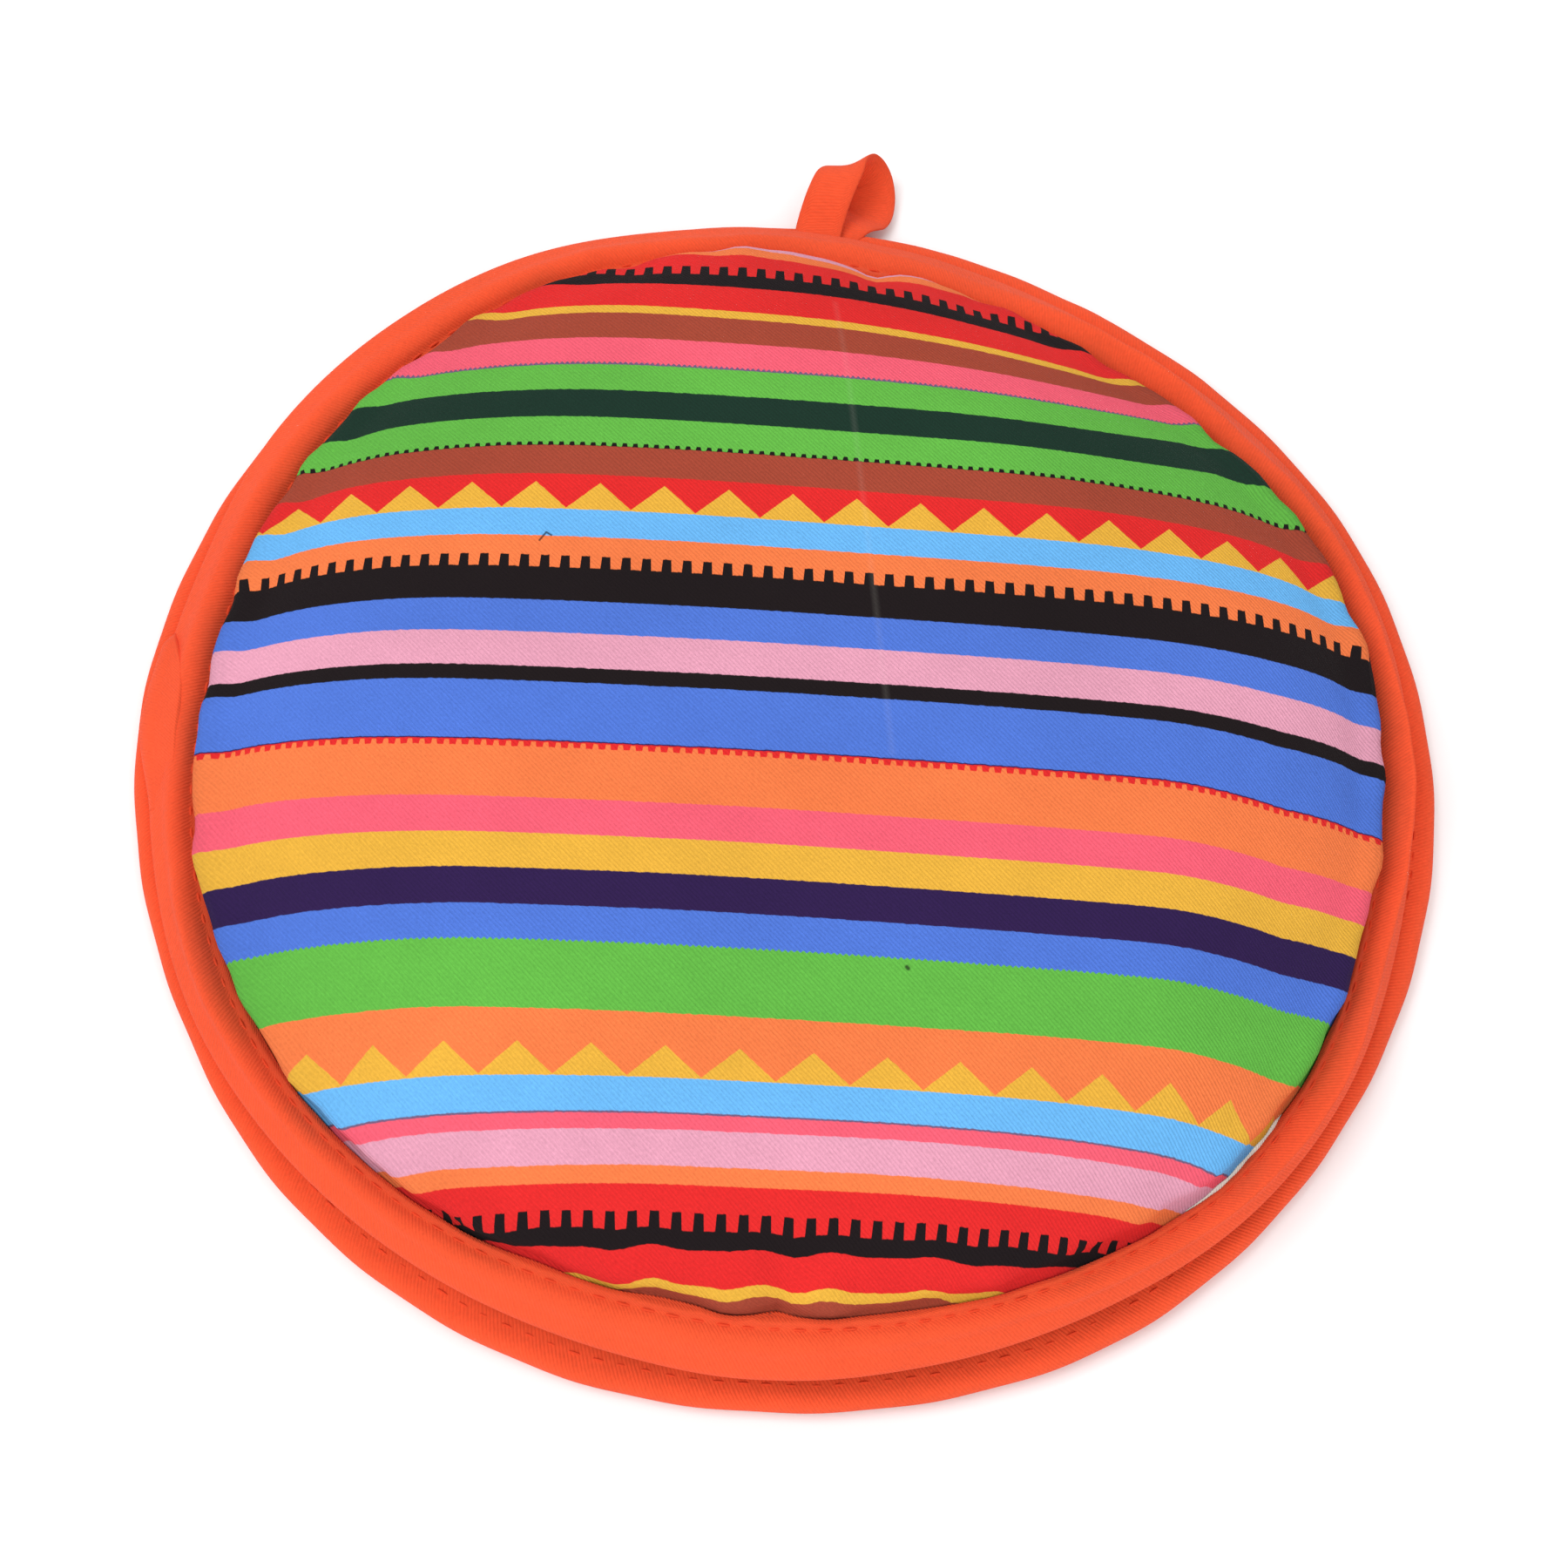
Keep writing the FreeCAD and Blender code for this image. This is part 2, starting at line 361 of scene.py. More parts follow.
STRIPES = (
    Stripe(200.0, Tint.ROSE),
    Stripe(134.2, Tint.ORANGE),
    Stripe(130.6, Tint.RED),
    Stripe(120.3, Tint.BLACK, Edge.TEETH, 4.2, 4.68, -56.8, 0.52),
    Stripe(114.7, Tint.RED),
    Stripe(104.7, Tint.YELLOW),
    Stripe(101.9, Tint.BROWN),
    Stripe(93.3, Tint.PINK),
    Stripe(84.9, Tint.SMOKE, Edge.TRIANGLES, 0.7, 1.25),
    Stripe(84.6, Tint.GREEN),
    Stripe(76.7, Tint.DARK_GREEN),
    Stripe(68.6, Tint.GREEN),
    Stripe(60.4, Tint.BLACK, Edge.TEETH, 0.95, 2.44, 0.0, 0.55),
    Stripe(60.3, Tint.BROWN),
    Stripe(52.2, Tint.RED),
    Stripe(42.9, Tint.YELLOW, Edge.TRIANGLES, 7.1, 14.76, -129.4),
    Stripe(42.6, Tint.SKY),
    Stripe(35.3, Tint.ORANGE),
    Stripe(27.1, Tint.BLACK, Edge.TEETH, 3.1, 4.59, -83.5, 0.5),
    Stripe(18.5, Tint.BLUE),
    Stripe(10.3, Tint.ROSE),
    Stripe(1.7, Tint.BLACK),
    Stripe(-2.0, Tint.BLUE),
    Stripe(-16.3, Tint.NAVY),
    Stripe(-16.6, Tint.RED),
    Stripe(-18.1, Tint.ORANGE, Edge.TEETH, 1.2, 2.72, 0.6, 0.5),
    Stripe(-30.2, Tint.PINK),
    Stripe(-38.6, Tint.YELLOW),
    Stripe(-46.8, Tint.NAVY),
    Stripe(-55.2, Tint.BLUE),
    Stripe(-63.4, Tint.GREEN, Edge.TRIANGLES, 0.5, 1.3),
    Stripe(-77.8, Tint.ORANGE),
    Stripe(-91.1, Tint.YELLOW, Edge.TRIANGLES, 6.6, 15.49, -95.85),
    Stripe(-91.4, Tint.SKY),
    Stripe(-98.5, Tint.SMOKE),
    Stripe(-98.9, Tint.PINK),
    Stripe(-102.0, Tint.ROSE),
    Stripe(-109.1, Tint.ORANGE),
    Stripe(-112.8, Tint.RED),
    Stripe(-121.9, Tint.BLACK, Edge.TEETH, 3.6, 4.68, -65.5, 0.5),
    Stripe(-125.9, Tint.RED),
    Stripe(-133.4, Tint.YELLOW),
    Stripe(-136.0, Tint.BROWN),
)
FOLDING_CREASE = ((5.0, 112.0), (20.0, -15.0))
DARK_SCRAPS = (((-61.0, 34.0), (-59.6, 36.2), 0.22), ((-59.6, 36.2), (-58.4, 35.4), 0.22),
               ((24.0, -65.0), (24.3, -65.3), 0.4))


class Graph:
    """Short way to lay nodes in a material's or a group's tree."""

    def __init__(self, tree: bpy.types.NodeTree) -> None:
        """Keeps the tree that the nodes go into."""
        self.tree = tree

    def add(self, kind: str, inputs: dict | None = None, **settings: object) -> bpy.types.Node:
        """New node of a kind.

        Args:
            kind: The node's type, without its leading ShaderNode.
            inputs: Values or links of its inputs, by number or label.
            **settings: Settings of the node itself.

        Returns:
            The new node.
        """
        node = self.tree.nodes.new(kind if kind.startswith("Node") else "ShaderNode" + kind)
        for key, value in settings.items():
            setattr(node, key, value)
        for key, value in (inputs or {}).items():
            self.feed(value, node.inputs[key])
        return node

    def feed(self, value: object, socket: bpy.types.NodeSocket) -> None:
        """Links a socket to an input, or sets the input's own value.

        Args:
            value: Socket to link, or a number, colour or vector.
            socket: Input that takes it.
        """
        if isinstance(value, bpy.types.NodeSocket):
            self.tree.links.new(value, socket)
        else:
            socket.default_value = value

    def math(self, operation: str, *values: object, clamp: bool = False) -> bpy.types.NodeSocket:
        """Output of a Math node fed with sockets or numbers."""
        return self.add("Math", dict(enumerate(values)), operation=operation,
                        use_clamp=clamp).outputs[0]

    def minus(self, *values: object, clamp: bool = False) -> bpy.types.NodeSocket:
        """First value less the second."""
        return self.math("SUBTRACT", *values, clamp=clamp)

    def times(self, *values: object, clamp: bool = False) -> bpy.types.NodeSocket:
        """Product of two values."""
        return self.math("MULTIPLY", *values, clamp=clamp)

    def line(self, *values: object, clamp: bool = False) -> bpy.types.NodeSocket:
        """First value times the second, plus the third."""
        return self.math("MULTIPLY_ADD", *values, clamp=clamp)

    def vector(self, operation: str, inputs: dict, output: object = 0) -> bpy.types.NodeSocket:
        """Chosen output of a Vector Math node."""
        return self.add("VectorMath", inputs, operation=operation).outputs[output]

    def mix(self, factor: object, first: object, second: object,
            blend: str = "MIX") -> bpy.types.NodeSocket:
        """Output of a colour mix: first where the factor is 0, second where it is 1.

        Args:
            factor: Share of the second colour.
            first: First colour.
            second: Second colour.
            blend: Blender's name of the way to blend.

        Returns:
            The mixed colour.
        """
        node = self.add("Mix", data_type="RGBA", blend_type=blend)
        for value, number in ((factor, 0), (first, 6), (second, 7)):
            self.feed(value, node.inputs[number])
        return node.outputs[2]

    def noise(self, vector: object, scale: float, detail: float = 2.0) -> bpy.types.NodeSocket:
        """Grey output of a noise node on a vector."""
        return self.add("TexNoise", {"Vector": vector, "Scale": scale, "Detail": detail}).outputs[0]

    def grey(self, value: object) -> bpy.types.NodeSocket:
        """Colour with one value in its three channels."""
        return self.add("CombineColor", {0: value, 1: value, 2: value}).outputs[0]

    def place(self, tree: bpy.types.NodeTree, inputs: dict) -> bpy.types.NodeOutputs:
        """Outputs of a shared group placed here with its own values."""
        return self.add("Group", inputs, node_tree=tree).outputs


class Effects:
    """Shader groups that several finishes share. Each is built once."""

    def __init__(self) -> None:
        """Builds the weave, mottle, stripe and mark groups."""
        self.weave = self._weave()
        self.mottle = self._mottle()
        self.stripes = self._stripes()
        self.marks = self._marks()

    @staticmethod
    def _group(name: str, inputs: dict, outputs: dict) -> tuple:
        """Empty group with named sockets.

        Args:
            name: Name of the group.
            inputs: Kind of each input, by its label.
            outputs: Kind of each output, by its label.

        Returns:
            The group's graph, the sockets that it is given, and those of its result.
        """
        tree = bpy.data.node_groups.new(name, "ShaderNodeTree")
        for way, sockets in (("INPUT", inputs), ("OUTPUT", outputs)):
            for label, kind in sockets.items():
                tree.interface.new_socket(label, in_out=way, socket_type="NodeSocket" + kind)
        graph = Graph(tree)
        return graph, graph.add("NodeGroupInput").outputs, graph.add("NodeGroupOutput").inputs

    def _weave(self) -> bpy.types.NodeTree:
        """Twill: diagonal ribs across fine threads, from products of sines of the cloth's place.

        Returns:
            The finished group.
        """
        graph, given, result = self._group(
            "twill_weave", {"Cloth": "Vector", "Rib": "Float", "Thread": "Float"},
            {"Height": "Float", "Tone": "Float"})
        parts = graph.add("SeparateXYZ", {0: given["Cloth"]}).outputs
        slant = graph.math("ADD", parts[0], parts[1])
        wobble = graph.times(graph.noise(given["Cloth"], 900.0, 1.0), 2.2)
        rib = graph.math("SINE", graph.line(slant, given["Rib"], wobble))
        warp, weft = (graph.math("SINE", graph.times(parts[side], given["Thread"]))
                      for side in (0, 1))
        height = graph.line(graph.times(warp, weft), 0.35, rib)
        slub = graph.noise(given["Cloth"], 1400.0)
        graph.feed(height, result["Height"])
        graph.feed(graph.line(height, 0.12, slub), result["Tone"])
        return graph.tree

    def _mottle(self) -> bpy.types.NodeTree:
        """Soft patches of handling and fading, from two sizes of noise.

        Returns:
            The finished group.
        """
        graph, given, result = self._group("cloth_mottle", {"Place": "Vector"}, {"Tone": "Float"})
        broad, fine = (graph.noise(given["Place"], scale, 3.0) for scale in (22.0, 160.0))
        graph.feed(graph.line(fine, 0.45, broad), result["Tone"])
        return graph.tree

    @staticmethod
    def _edge_rise(graph: Graph, across: object, stripe: Stripe) -> object:
        """Rise of a stripe's edge along the cloth.

        A tooth is the lower of two ramps held between 0 and 1. Triangles are one less the size of
        a saw wave.

        Args:
            graph: Graph of the print.
            across: Place along the stripe, in millimetres.
            stripe: Stripe with teeth or triangles.

        Returns:
            The rise in millimetres.
        """
        saw = graph.math("FRACT", graph.math("DIVIDE", graph.minus(across, stripe.start),
                                             stripe.pitch))
        if stripe.edge is Edge.TEETH:
            rise = graph.times(graph.minus(stripe.share, saw), stripe.pitch * PRINT_EDGE)
            fall = graph.times(saw, stripe.pitch * PRINT_EDGE)
            tooth = graph.math("MINIMUM", graph.math("MINIMUM", rise, fall), 1.0)
            wave = graph.math("MAXIMUM", tooth, 0.0)
        else:
            wave = graph.minus(1.0, graph.math("ABSOLUTE", graph.line(saw, 2.0, -1.0)))
        return graph.times(wave, stripe.height)

    def _stripes(self) -> bpy.types.NodeTree:
        """Print: each stripe in turn covers what lies below its edge, so the last one down wins.

        Returns:
            The finished group.
        """
        graph, given, result = self._group("stripe_print", {"Cloth": "Vector"}, {"Color": "Color"})
        flat = graph.vector("SCALE", {0: given["Cloth"], "Scale": 1000.0})
        parts = graph.add("SeparateXYZ", {0: flat}).outputs
        feather = graph.noise(given["Cloth"], 700.0)
        up = graph.line(feather, 0.5, graph.minus(parts[1], 0.25))
        color = STRIPES[0].tint.linear(INK_SHARE)
        for stripe in STRIPES[1:]:
            edge = stripe.top
            if stripe.edge is not Edge.STRAIGHT:
                edge = graph.math("ADD", self._edge_rise(graph, parts[0], stripe), stripe.top)
            cover = graph.line(graph.minus(edge, up), PRINT_EDGE, 0.5, clamp=True)
            color = graph.mix(cover, color, stripe.tint.linear(INK_SHARE))
        graph.feed(color, result["Color"])
        return graph.tree

    @staticmethod
    def _off_line(graph: Graph, flat: object, start: tuple, end: tuple) -> object:
        """Distance of a place on the flat cloth from a straight line between two points.

        The nearest point of the line is its start plus a share of its reach, and the share is the
        dot product of place and reach over the reach's square, held between 0 and 1.

        Args:
            graph: Graph that the nodes go into.
            flat: Place on the flat cloth, in millimetres.
            start: First end of the line, in the same measure.
            end: Last end of the line.

        Returns:
            The distance in millimetres.
        """
        reach = (end[0] - start[0], end[1] - start[1], 0.0)
        away = graph.vector("SUBTRACT", {0: flat, 1: (*start, 0.0)})
        dot = graph.vector("DOT_PRODUCT", {0: away, 1: reach}, "Value")
        share = graph.math("DIVIDE", dot, reach[0] ** 2 + reach[1] ** 2, clamp=True)
        near = graph.vector("SCALE", {0: reach, "Scale": share})
        return graph.vector("DISTANCE", {0: away, 1: near}, "Value")

    def _marks(self) -> bpy.types.NodeTree:
        """Small marks of storage: a faint folding crease, a scrap of dark thread and a speck.

        Returns:
            The finished group.
        """
        graph, given, result = self._group(
            "storage_marks", {"Cloth": "Vector"}, {"Crease": "Float", "Dark": "Float"})
        flat = graph.vector("SCALE", {0: given["Cloth"], "Scale": 1000.0})
        fold = self._off_line(graph, flat, *FOLDING_CREASE)
        graph.feed(graph.minus(1.0, graph.times(fold, 0.9), clamp=True), result["Crease"])
        dark = 0.0
        for start, end, width in DARK_SCRAPS:
            apart = self._off_line(graph, flat, start, end)
            scrap = graph.times(graph.minus(width * 1.6, apart), 1.0 / width, clamp=True)
            dark = graph.math("MAXIMUM", dark, scrap)
        graph.feed(dark, result["Dark"])
        return graph.tree


def new_material(name: str) -> tuple:
    """New material, with its graph and the inputs of its shader.

    Args:
        name: Name of the new material.

    Returns:
        The material, its graph, and its shader's inputs.
    """
    material = bpy.data.materials.new(name)
    material.use_nodes = True
    shader = material.node_tree.nodes["Principled BSDF"]
    return material, Graph(material.node_tree), shader.inputs


@dataclass(frozen=True)
class ClothFinish:
    """Matt woven cloth in one colour, or printed with the stripes."""

    name: str
    tint: Tint
    rib_pitch: float = 1.15
    thread_pitch: float = 0.5
    relief: float = 0.16
    contrast: float = 0.26
    roughness: float = 0.9
    sheen: float = 0.0
    sheen_roughness: float = 0.6
    specular: float = 0.12
    # share of the base colour taken away by the shade painted in the crease
    crease_shade: float = 0.6
    printed: bool = False
    marked: bool = False

    def build(self, effects: Effects) -> bpy.types.Material:
        """Material with weave, mottle, painted shade in the crease and, on printed cloth, the
        stripes.

        Args:
            effects: The shared shader groups.

        Returns:
            The new material.
        """
        material, graph, shader = new_material(self.name)
        shader["Sheen Weight"].default_value = self.sheen
        shader["Sheen Roughness"].default_value = self.sheen_roughness
        shader["Specular IOR Level"].default_value = self.specular
        cloth = graph.add("UVMap", uv_map="flat_cloth").outputs[0]
        weave = graph.place(effects.weave, {
            "Cloth": cloth, "Rib": 2 * math.pi * 1000 / self.rib_pitch,
            "Thread": 2 * math.pi * 1000 / self.thread_pitch})
        mottle = graph.place(effects.mottle, {"Place": graph.add("TexCoord").outputs["Object"]})
        base = self.tint.linear(INK_SHARE)
        if self.printed:
            base = graph.place(effects.stripes, {"Cloth": cloth})["Color"]
        if self.marked:
            marks = graph.place(effects.marks, {"Cloth": cloth})
            base = graph.mix(graph.times(marks["Crease"], 0.03), base, Tint.CALICO.linear())
            base = graph.mix(graph.times(marks["Dark"], 0.8), base, Tint.BLACK.linear())
        tone = graph.line(weave["Tone"], self.contrast * 1.3, 1.0 - self.contrast * 0.65)
        patch = graph.line(mottle["Tone"], self.contrast, 1.0 - self.contrast * 0.72)
        # painted shade: the base colour is darkened by the stored depth in the crease beside the
        # tape
        crease = graph.add("Attribute", attribute_name="crease_depth_and_painted_shade").outputs["Fac"]
        shade = graph.times(graph.times(tone, patch), graph.line(crease, -self.crease_shade, 1.0))
        graph.feed(graph.mix(1.0, base, graph.grey(shade), "MULTIPLY"), shader["Base Color"])
        graph.feed(graph.line(weave["Tone"], 0.08, self.roughness - 0.04), shader["Roughness"])
        bump = graph.add("Bump", {"Height": weave["Height"], "Strength": 0.5,
                                  "Distance": self.relief * MM})
        graph.feed(bump.outputs[0], shader["Normal"])
        return material


class Wardrobe:
    """All the finishes by name, built once."""

    def __init__(self) -> None:
        """Builds each material."""
        effects = Effects()

        def cloth(name: str, tint: Tint, *pitches: float, **details: float) -> bpy.types.Material:
            """Material of one cloth."""
            return ClothFinish(name, tint, *pitches, **details).build(effects)

        self.printed = cloth("printed_cotton", Tint.ROSE, printed=True, marked=True)
        self.lower = cloth("lower_printed_cotton", Tint.ROSE, printed=True)
        self.tape = cloth("binding_tape", Tint.TAPE, 0.9, 0.4, 0.12, 0.22, sheen=0.04)
        self.thread = cloth("sewing_thread", Tint.THREAD, 0.5, 0.5, 0.05, 0.2)
        self.calico = cloth("lining_calico", Tint.CALICO, 0.7, 0.35)
        self.wadding = cloth("polyester_wadding", Tint.WADDING, 2.0, 1.0, 0.4, 0.1)
        self.floor = self._floor()

    @staticmethod
    def _floor() -> bpy.types.Material:
        """Plain pale paper with a very faint grain.

        Returns:
            The new material.
        """
        material, graph, shader = new_material("pale_paper")
        shader["Specular IOR Level"].default_value = 0.1
        shader["Roughness"].default_value = 0.9
        place = graph.add("TexCoord").outputs["Object"]
        grain = graph.line(graph.noise(place, 90.0, 3.0), 0.02, 0.93)
        graph.feed(graph.grey(grain), shader["Base Color"])
        return material


def dress(piece: bpy.types.Object, material: bpy.types.Material) -> bpy.types.Object:
    """Gives a piece its material.

    Args:
        piece: Piece to dress.
        material: Its finish.

    Returns:
        The same piece.
    """
    piece.data.materials.append(material)
    return piece


@dataclass
class Profile:
    """Section of a disc's face: a smooth curve through stations, measured by its own length."""

    stations: tuple
    slope_reach: float = 0.8

    def __post_init__(self) -> None:
        """Samples the curve and its running length."""
        curve = smooth_path(np.array(self.stations, float), 1201)
        self.radius, self.height = curve[:, 0], curve[:, 1]
        steps = np.hypot(np.diff(self.radius), np.diff(self.height))
        self.run = np.concatenate([[0.0], np.cumsum(steps)])
        self.length = self.run[-1]

    def at(self, run: np.ndarray) -> tuple[np.ndarray, ...]:
        """Radius, height and outward normal at a running length, carried on straight past the end.

        Args:
            run: Length along the section from the middle, in millimetres.

        Returns:
            Radius, height, and the normal's radial and upward parts.
        """
        inside = np.minimum(run, self.length)
        beyond = run - inside
        low, high = (np.clip(inside + step, 0, self.length)
                     for step in (-self.slope_reach, self.slope_reach))
        lines = (self.radius, self.height)
        along = np.stack([np.interp(high, self.run, line) - np.interp(low, self.run, line)
                          for line in lines])
        along = along / np.maximum(np.hypot(*along), TINY)
        radius, height = (np.interp(inside, self.run, line) + beyond * slope
                          for line, slope in zip(lines, along))
        return radius, height, -along[1], along[0]


@dataclass
class TapeSection:
    """Outline of a folded tape round a quilted rim, in the rim's own directions."""

    width: float
    cloth: float
    core: float
    swell: float
    gap: float = 0.1
    seam_inset: float = 2.2

    def outline(self, sides: int = 58) -> np.ndarray:
        """Closed outline of the tape: out over the top leg, round the nose, back under, and inside.

        Args:
            sides: Number of points round the outline.

        Returns:
            Points (outward from the core's end, above the core's top face), anticlockwise seen
            against the direction of growing azimuth.
        """
        floor = -self.core - self.gap
        over = self.cloth + self.gap
        middle = -0.5 * self.core
        nose = over - middle
        inner = nose - self.width
        seam = inner + self.seam_inset
        knots = [(inner, self.gap + 0.1), (inner - 0.35, self.gap + 0.5 * self.cloth),
                 (inner + 0.15, over + 0.12), (inner + 1.1, over + 0.10), (seam, over - 0.25),
                 (seam + 1.3, over + 0.30 + 0.35 * self.swell), (seam + 3.2, over + self.swell),
                 (seam + 5.4, over + 0.8 * self.swell), (-2.4, over + 0.36 * self.swell),
                 (0.0, over), (0.72 * nose, middle + 0.72 * nose), (nose, middle),
                 (0.72 * nose, middle - 0.72 * nose), (0.0, floor - self.cloth),
                 (-3.5, floor - self.cloth - 0.1), (inner + 4.0, floor - self.cloth - 0.1),
                 (seam, floor - self.cloth + 0.2), (inner + 0.6, floor - self.cloth),
                 (inner - 0.2, floor - 0.5 * self.cloth), (inner, floor - 0.05),
                 (-4.0, floor - 0.02), (-0.3, floor + 0.1), (0.05, -0.5 * self.core),
                 (-0.3, -0.1), (-4.0, self.gap * 0.6)]
        return smooth_path(np.array(knots, float), sides, closed=True)[::-1]


@dataclass
class FrontShape:
    """Upper disc as a function of azimuth, running length and height over the cloth.

    The rim's tables give its drift, its slope and the tape's visible width every 15 degrees, as
    sewing and stuffing have left them. Each fold beside the tape has a middle and a width in
    degrees, and a height. Each band of the cover has its distance in from the tape's edge and its
    width.
    """

    profile: Profile
    fold_y: float = -25.7
    fold_height: float = 43.0
    fold_lead: float = 10.0
    fold_spread: float = 70.0
    lip_lift: float = 2.5
    slope_reach: float = 1.6
    tape_turn_in: float = 2.0
    usual_reach: float = 10.4
    rim_outward: tuple = (-2.3, -0.1, 0.5, -1.5, -3.1, -2.8, -1.3, 0.9, 3.4, 3.2, 1.8, -1.0,
                          -0.9, -0.6, 0.1, -0.4, -1.2, -1.9, -1.5, -2.5, -2.5, -1.2, -1.4, -2.6)
    rim_upward: tuple = (-0.3, 0.0, 0.1, -0.5, -1.1, -0.5, 0.9, 0.7, 1.2, 0.9, 0.4, -0.2,
                         0.1, 0.0, 0.0, 0.0, 0.1, 0.2, 0.2, 0.3, 0.2, 0.0, 0.0, -0.2)
    rim_slope: tuple = (30.0, 24.0, 19.0, 16.0, 18.0, 18.0, 20.0, 16.0, 10.0, 6.0, 6.0, 18.0,
                        20.0, 30.0, 34.0, 36.0, 38.0, 39.0, 40.0, 39.0, 38.0, 37.0, 36.0, 33.0)
    rim_reach: tuple = (8.2, 10.2, 12.2, 12.4, 12.3, 12.4, 12.4, 11.8, 12.3, 12.4, 12.4, 11.6,
                        12.0, 10.0, 9.6, 8.7, 9.2, 10.7, 11.4, 9.8, 8.2, 7.2, 7.9, 7.4)
    folds: tuple = ((99.0, 6.5, 2.6), (84.3, 1.9, -3.0), (78.5, 3.4, 1.7), (120.0, 8.0, 0.8),
                    (66.0, 4.0, 0.7), (-88.8, 1.3, -1.7), (-93.5, 2.4, 1.2), (-84.5, 2.6, 1.0),
                    (-99.5, 2.2, -1.1), (-105.0, 3.0, 1.0), (-78.0, 2.0, -0.8),
                    (-72.0, 3.5, 0.8), (-118.0, 4.0, 0.7))
    gathers: tuple = ((0.34, 31, 0.6), (0.30, 47, 2.1), (0.22, 19, 4.0), (0.16, 73, 1.0))
    swells: tuple = ((0.45, 5, 0.4), (0.3, 9, 2.2))
    gather_band: tuple = (5.0, 8.0)
    swell_band: tuple = (24.0, 20.0)
    fold_band: tuple = (3.0, 12.0)
    bulge_band: tuple = (6.2, 4.0)
    dip_band: tuple = (0.2, 2.5)
    bulge_rise: float = 3.9
    dip_depth: float = 3.2
    gathers_under_tape: float = 0.3
    folds_under_tape: float = 0.08

    @staticmethod
    def usual() -> "FrontShape":
        """Crown, bulging shoulder, steep wall, and a rim sloping down at the tape.

        Returns:
            The upper disc of this pouch.
        """
        return FrontShape(Profile((
            (0.0, 43.0), (22.0, 42.8), (45.0, 42.2), (66.0, 41.3), (85.0, 39.8), (100.0, 37.6),
            (113.0, 34.3), (123.5, 29.9), (130.6, 25.0), (134.8, 20.2), (136.2, 17.2),
            (139.8, 15.0), (143.1, 12.8), (146.3, 10.6))))

    def tape_edge(self, azimuth: np.ndarray) -> np.ndarray:
        """Running length at which the cover goes under the tape."""
        return self.profile.length - around(self.rim_reach, azimuth)

    def fit_out(self, azimuth: np.ndarray, out: np.ndarray) -> np.ndarray:
        """Outward place on the tape, drawn in or out to the rim's own width at each azimuth.

        Args:
            azimuth: Direction from the middle, in radians.
            out: Outward place from the cover's end, on a tape of the usual width.

        Returns:
            The outward place on the real tape.
        """
        share = (around(self.rim_reach, azimuth) - self.tape_turn_in) / self.usual_reach
        turn = -self.tape_turn_in
        return np.where(out < turn, turn + (out - turn) * share, out)

    @staticmethod
    def crease_depth_and_painted_shade(azimuth: np.ndarray) -> np.ndarray:
        """Depth of the crease and its painted shade beside the tape: deep at the sides, shallow by
        the loop and mouth.
        """
        return 0.62 + 0.40 * np.cos(2 * azimuth - 0.25)

    def puff(self, azimuth: np.ndarray, run: np.ndarray) -> np.ndarray:
        """Rise of the quilt along its normal.

        Gathers are sine waves round the rim times a bell in the distance from the tape, so they
        die away inward. A slow swell, the named folds, a soft unevenness of the crown, and the
        bulge and dip of the crease are added to them.

        Args:
            azimuth: Direction from the middle, in radians.
            run: Length along the outer cloth from the middle.

        Returns:
            The rise in millimetres.
        """
        off = run - self.tape_edge(azimuth)
        inside = off < 0
        gather, swell, fold, bulge, dip = (
            bell(off + place, width) for place, width in
            (self.gather_band, self.swell_band, self.fold_band, self.bulge_band, self.dip_band))
        folds = sum(height * bell(turn_apart(azimuth, middle), width)
                    for middle, width, height in self.folds)
        edge = self.crease_depth_and_painted_shade(azimuth) * (self.bulge_rise * bulge - self.dip_depth * dip)
        soft = 0.3 * np.sin(3 * azimuth + 1.0) * ease(run / 60.0) * ease(-off / 40.0)
        kept = np.where(inside, 1.0, self.gathers_under_tape)
        return (gather * kept * ripples(azimuth, self.gathers)
                + swell * ripples(azimuth, self.swells)
                + np.where(inside, fold, self.folds_under_tape) * folds + soft + edge)

    def spine(self, azimuth: np.ndarray, run: np.ndarray) -> tuple[np.ndarray, np.ndarray]:
        """Radius and height of the outer cloth's face before its gathers.

        Under the tape the section is straight at the rim's own slope, back from the drifted nose.
        Inward of it the profile is shifted by the drift of the tape's inner edge. The drift is
        full 2 mm from the tape, and fades to nothing 76 mm from the middle.

        Args:
            azimuth: Direction from the middle, in radians.
            run: Length along the outer cloth from the middle.

        Returns:
            Radius and height in millimetres.
        """
        length = self.profile.length
        edge = self.tape_edge(azimuth)
        slope = np.radians(around(self.rim_slope, azimuth))
        under_tape = run > edge
        fade = ease((run - 76.0) / (edge - 78.0))
        base = self.profile.at(np.minimum(run, edge))
        at_edge = self.profile.at(edge)
        parts = []
        for side, ends, drifts, lean in ((0, self.profile.radius, self.rim_outward, np.cos(slope)),
                                         (1, self.profile.height, self.rim_upward, -np.sin(slope))):
            nose = ends[-1] + around(drifts, azimuth)
            drift = nose - (length - edge) * lean - at_edge[side]
            parts.append(np.where(under_tape, nose + (run - length) * lean,
                                  base[side] + drift * fade))
        return parts[0], parts[1]

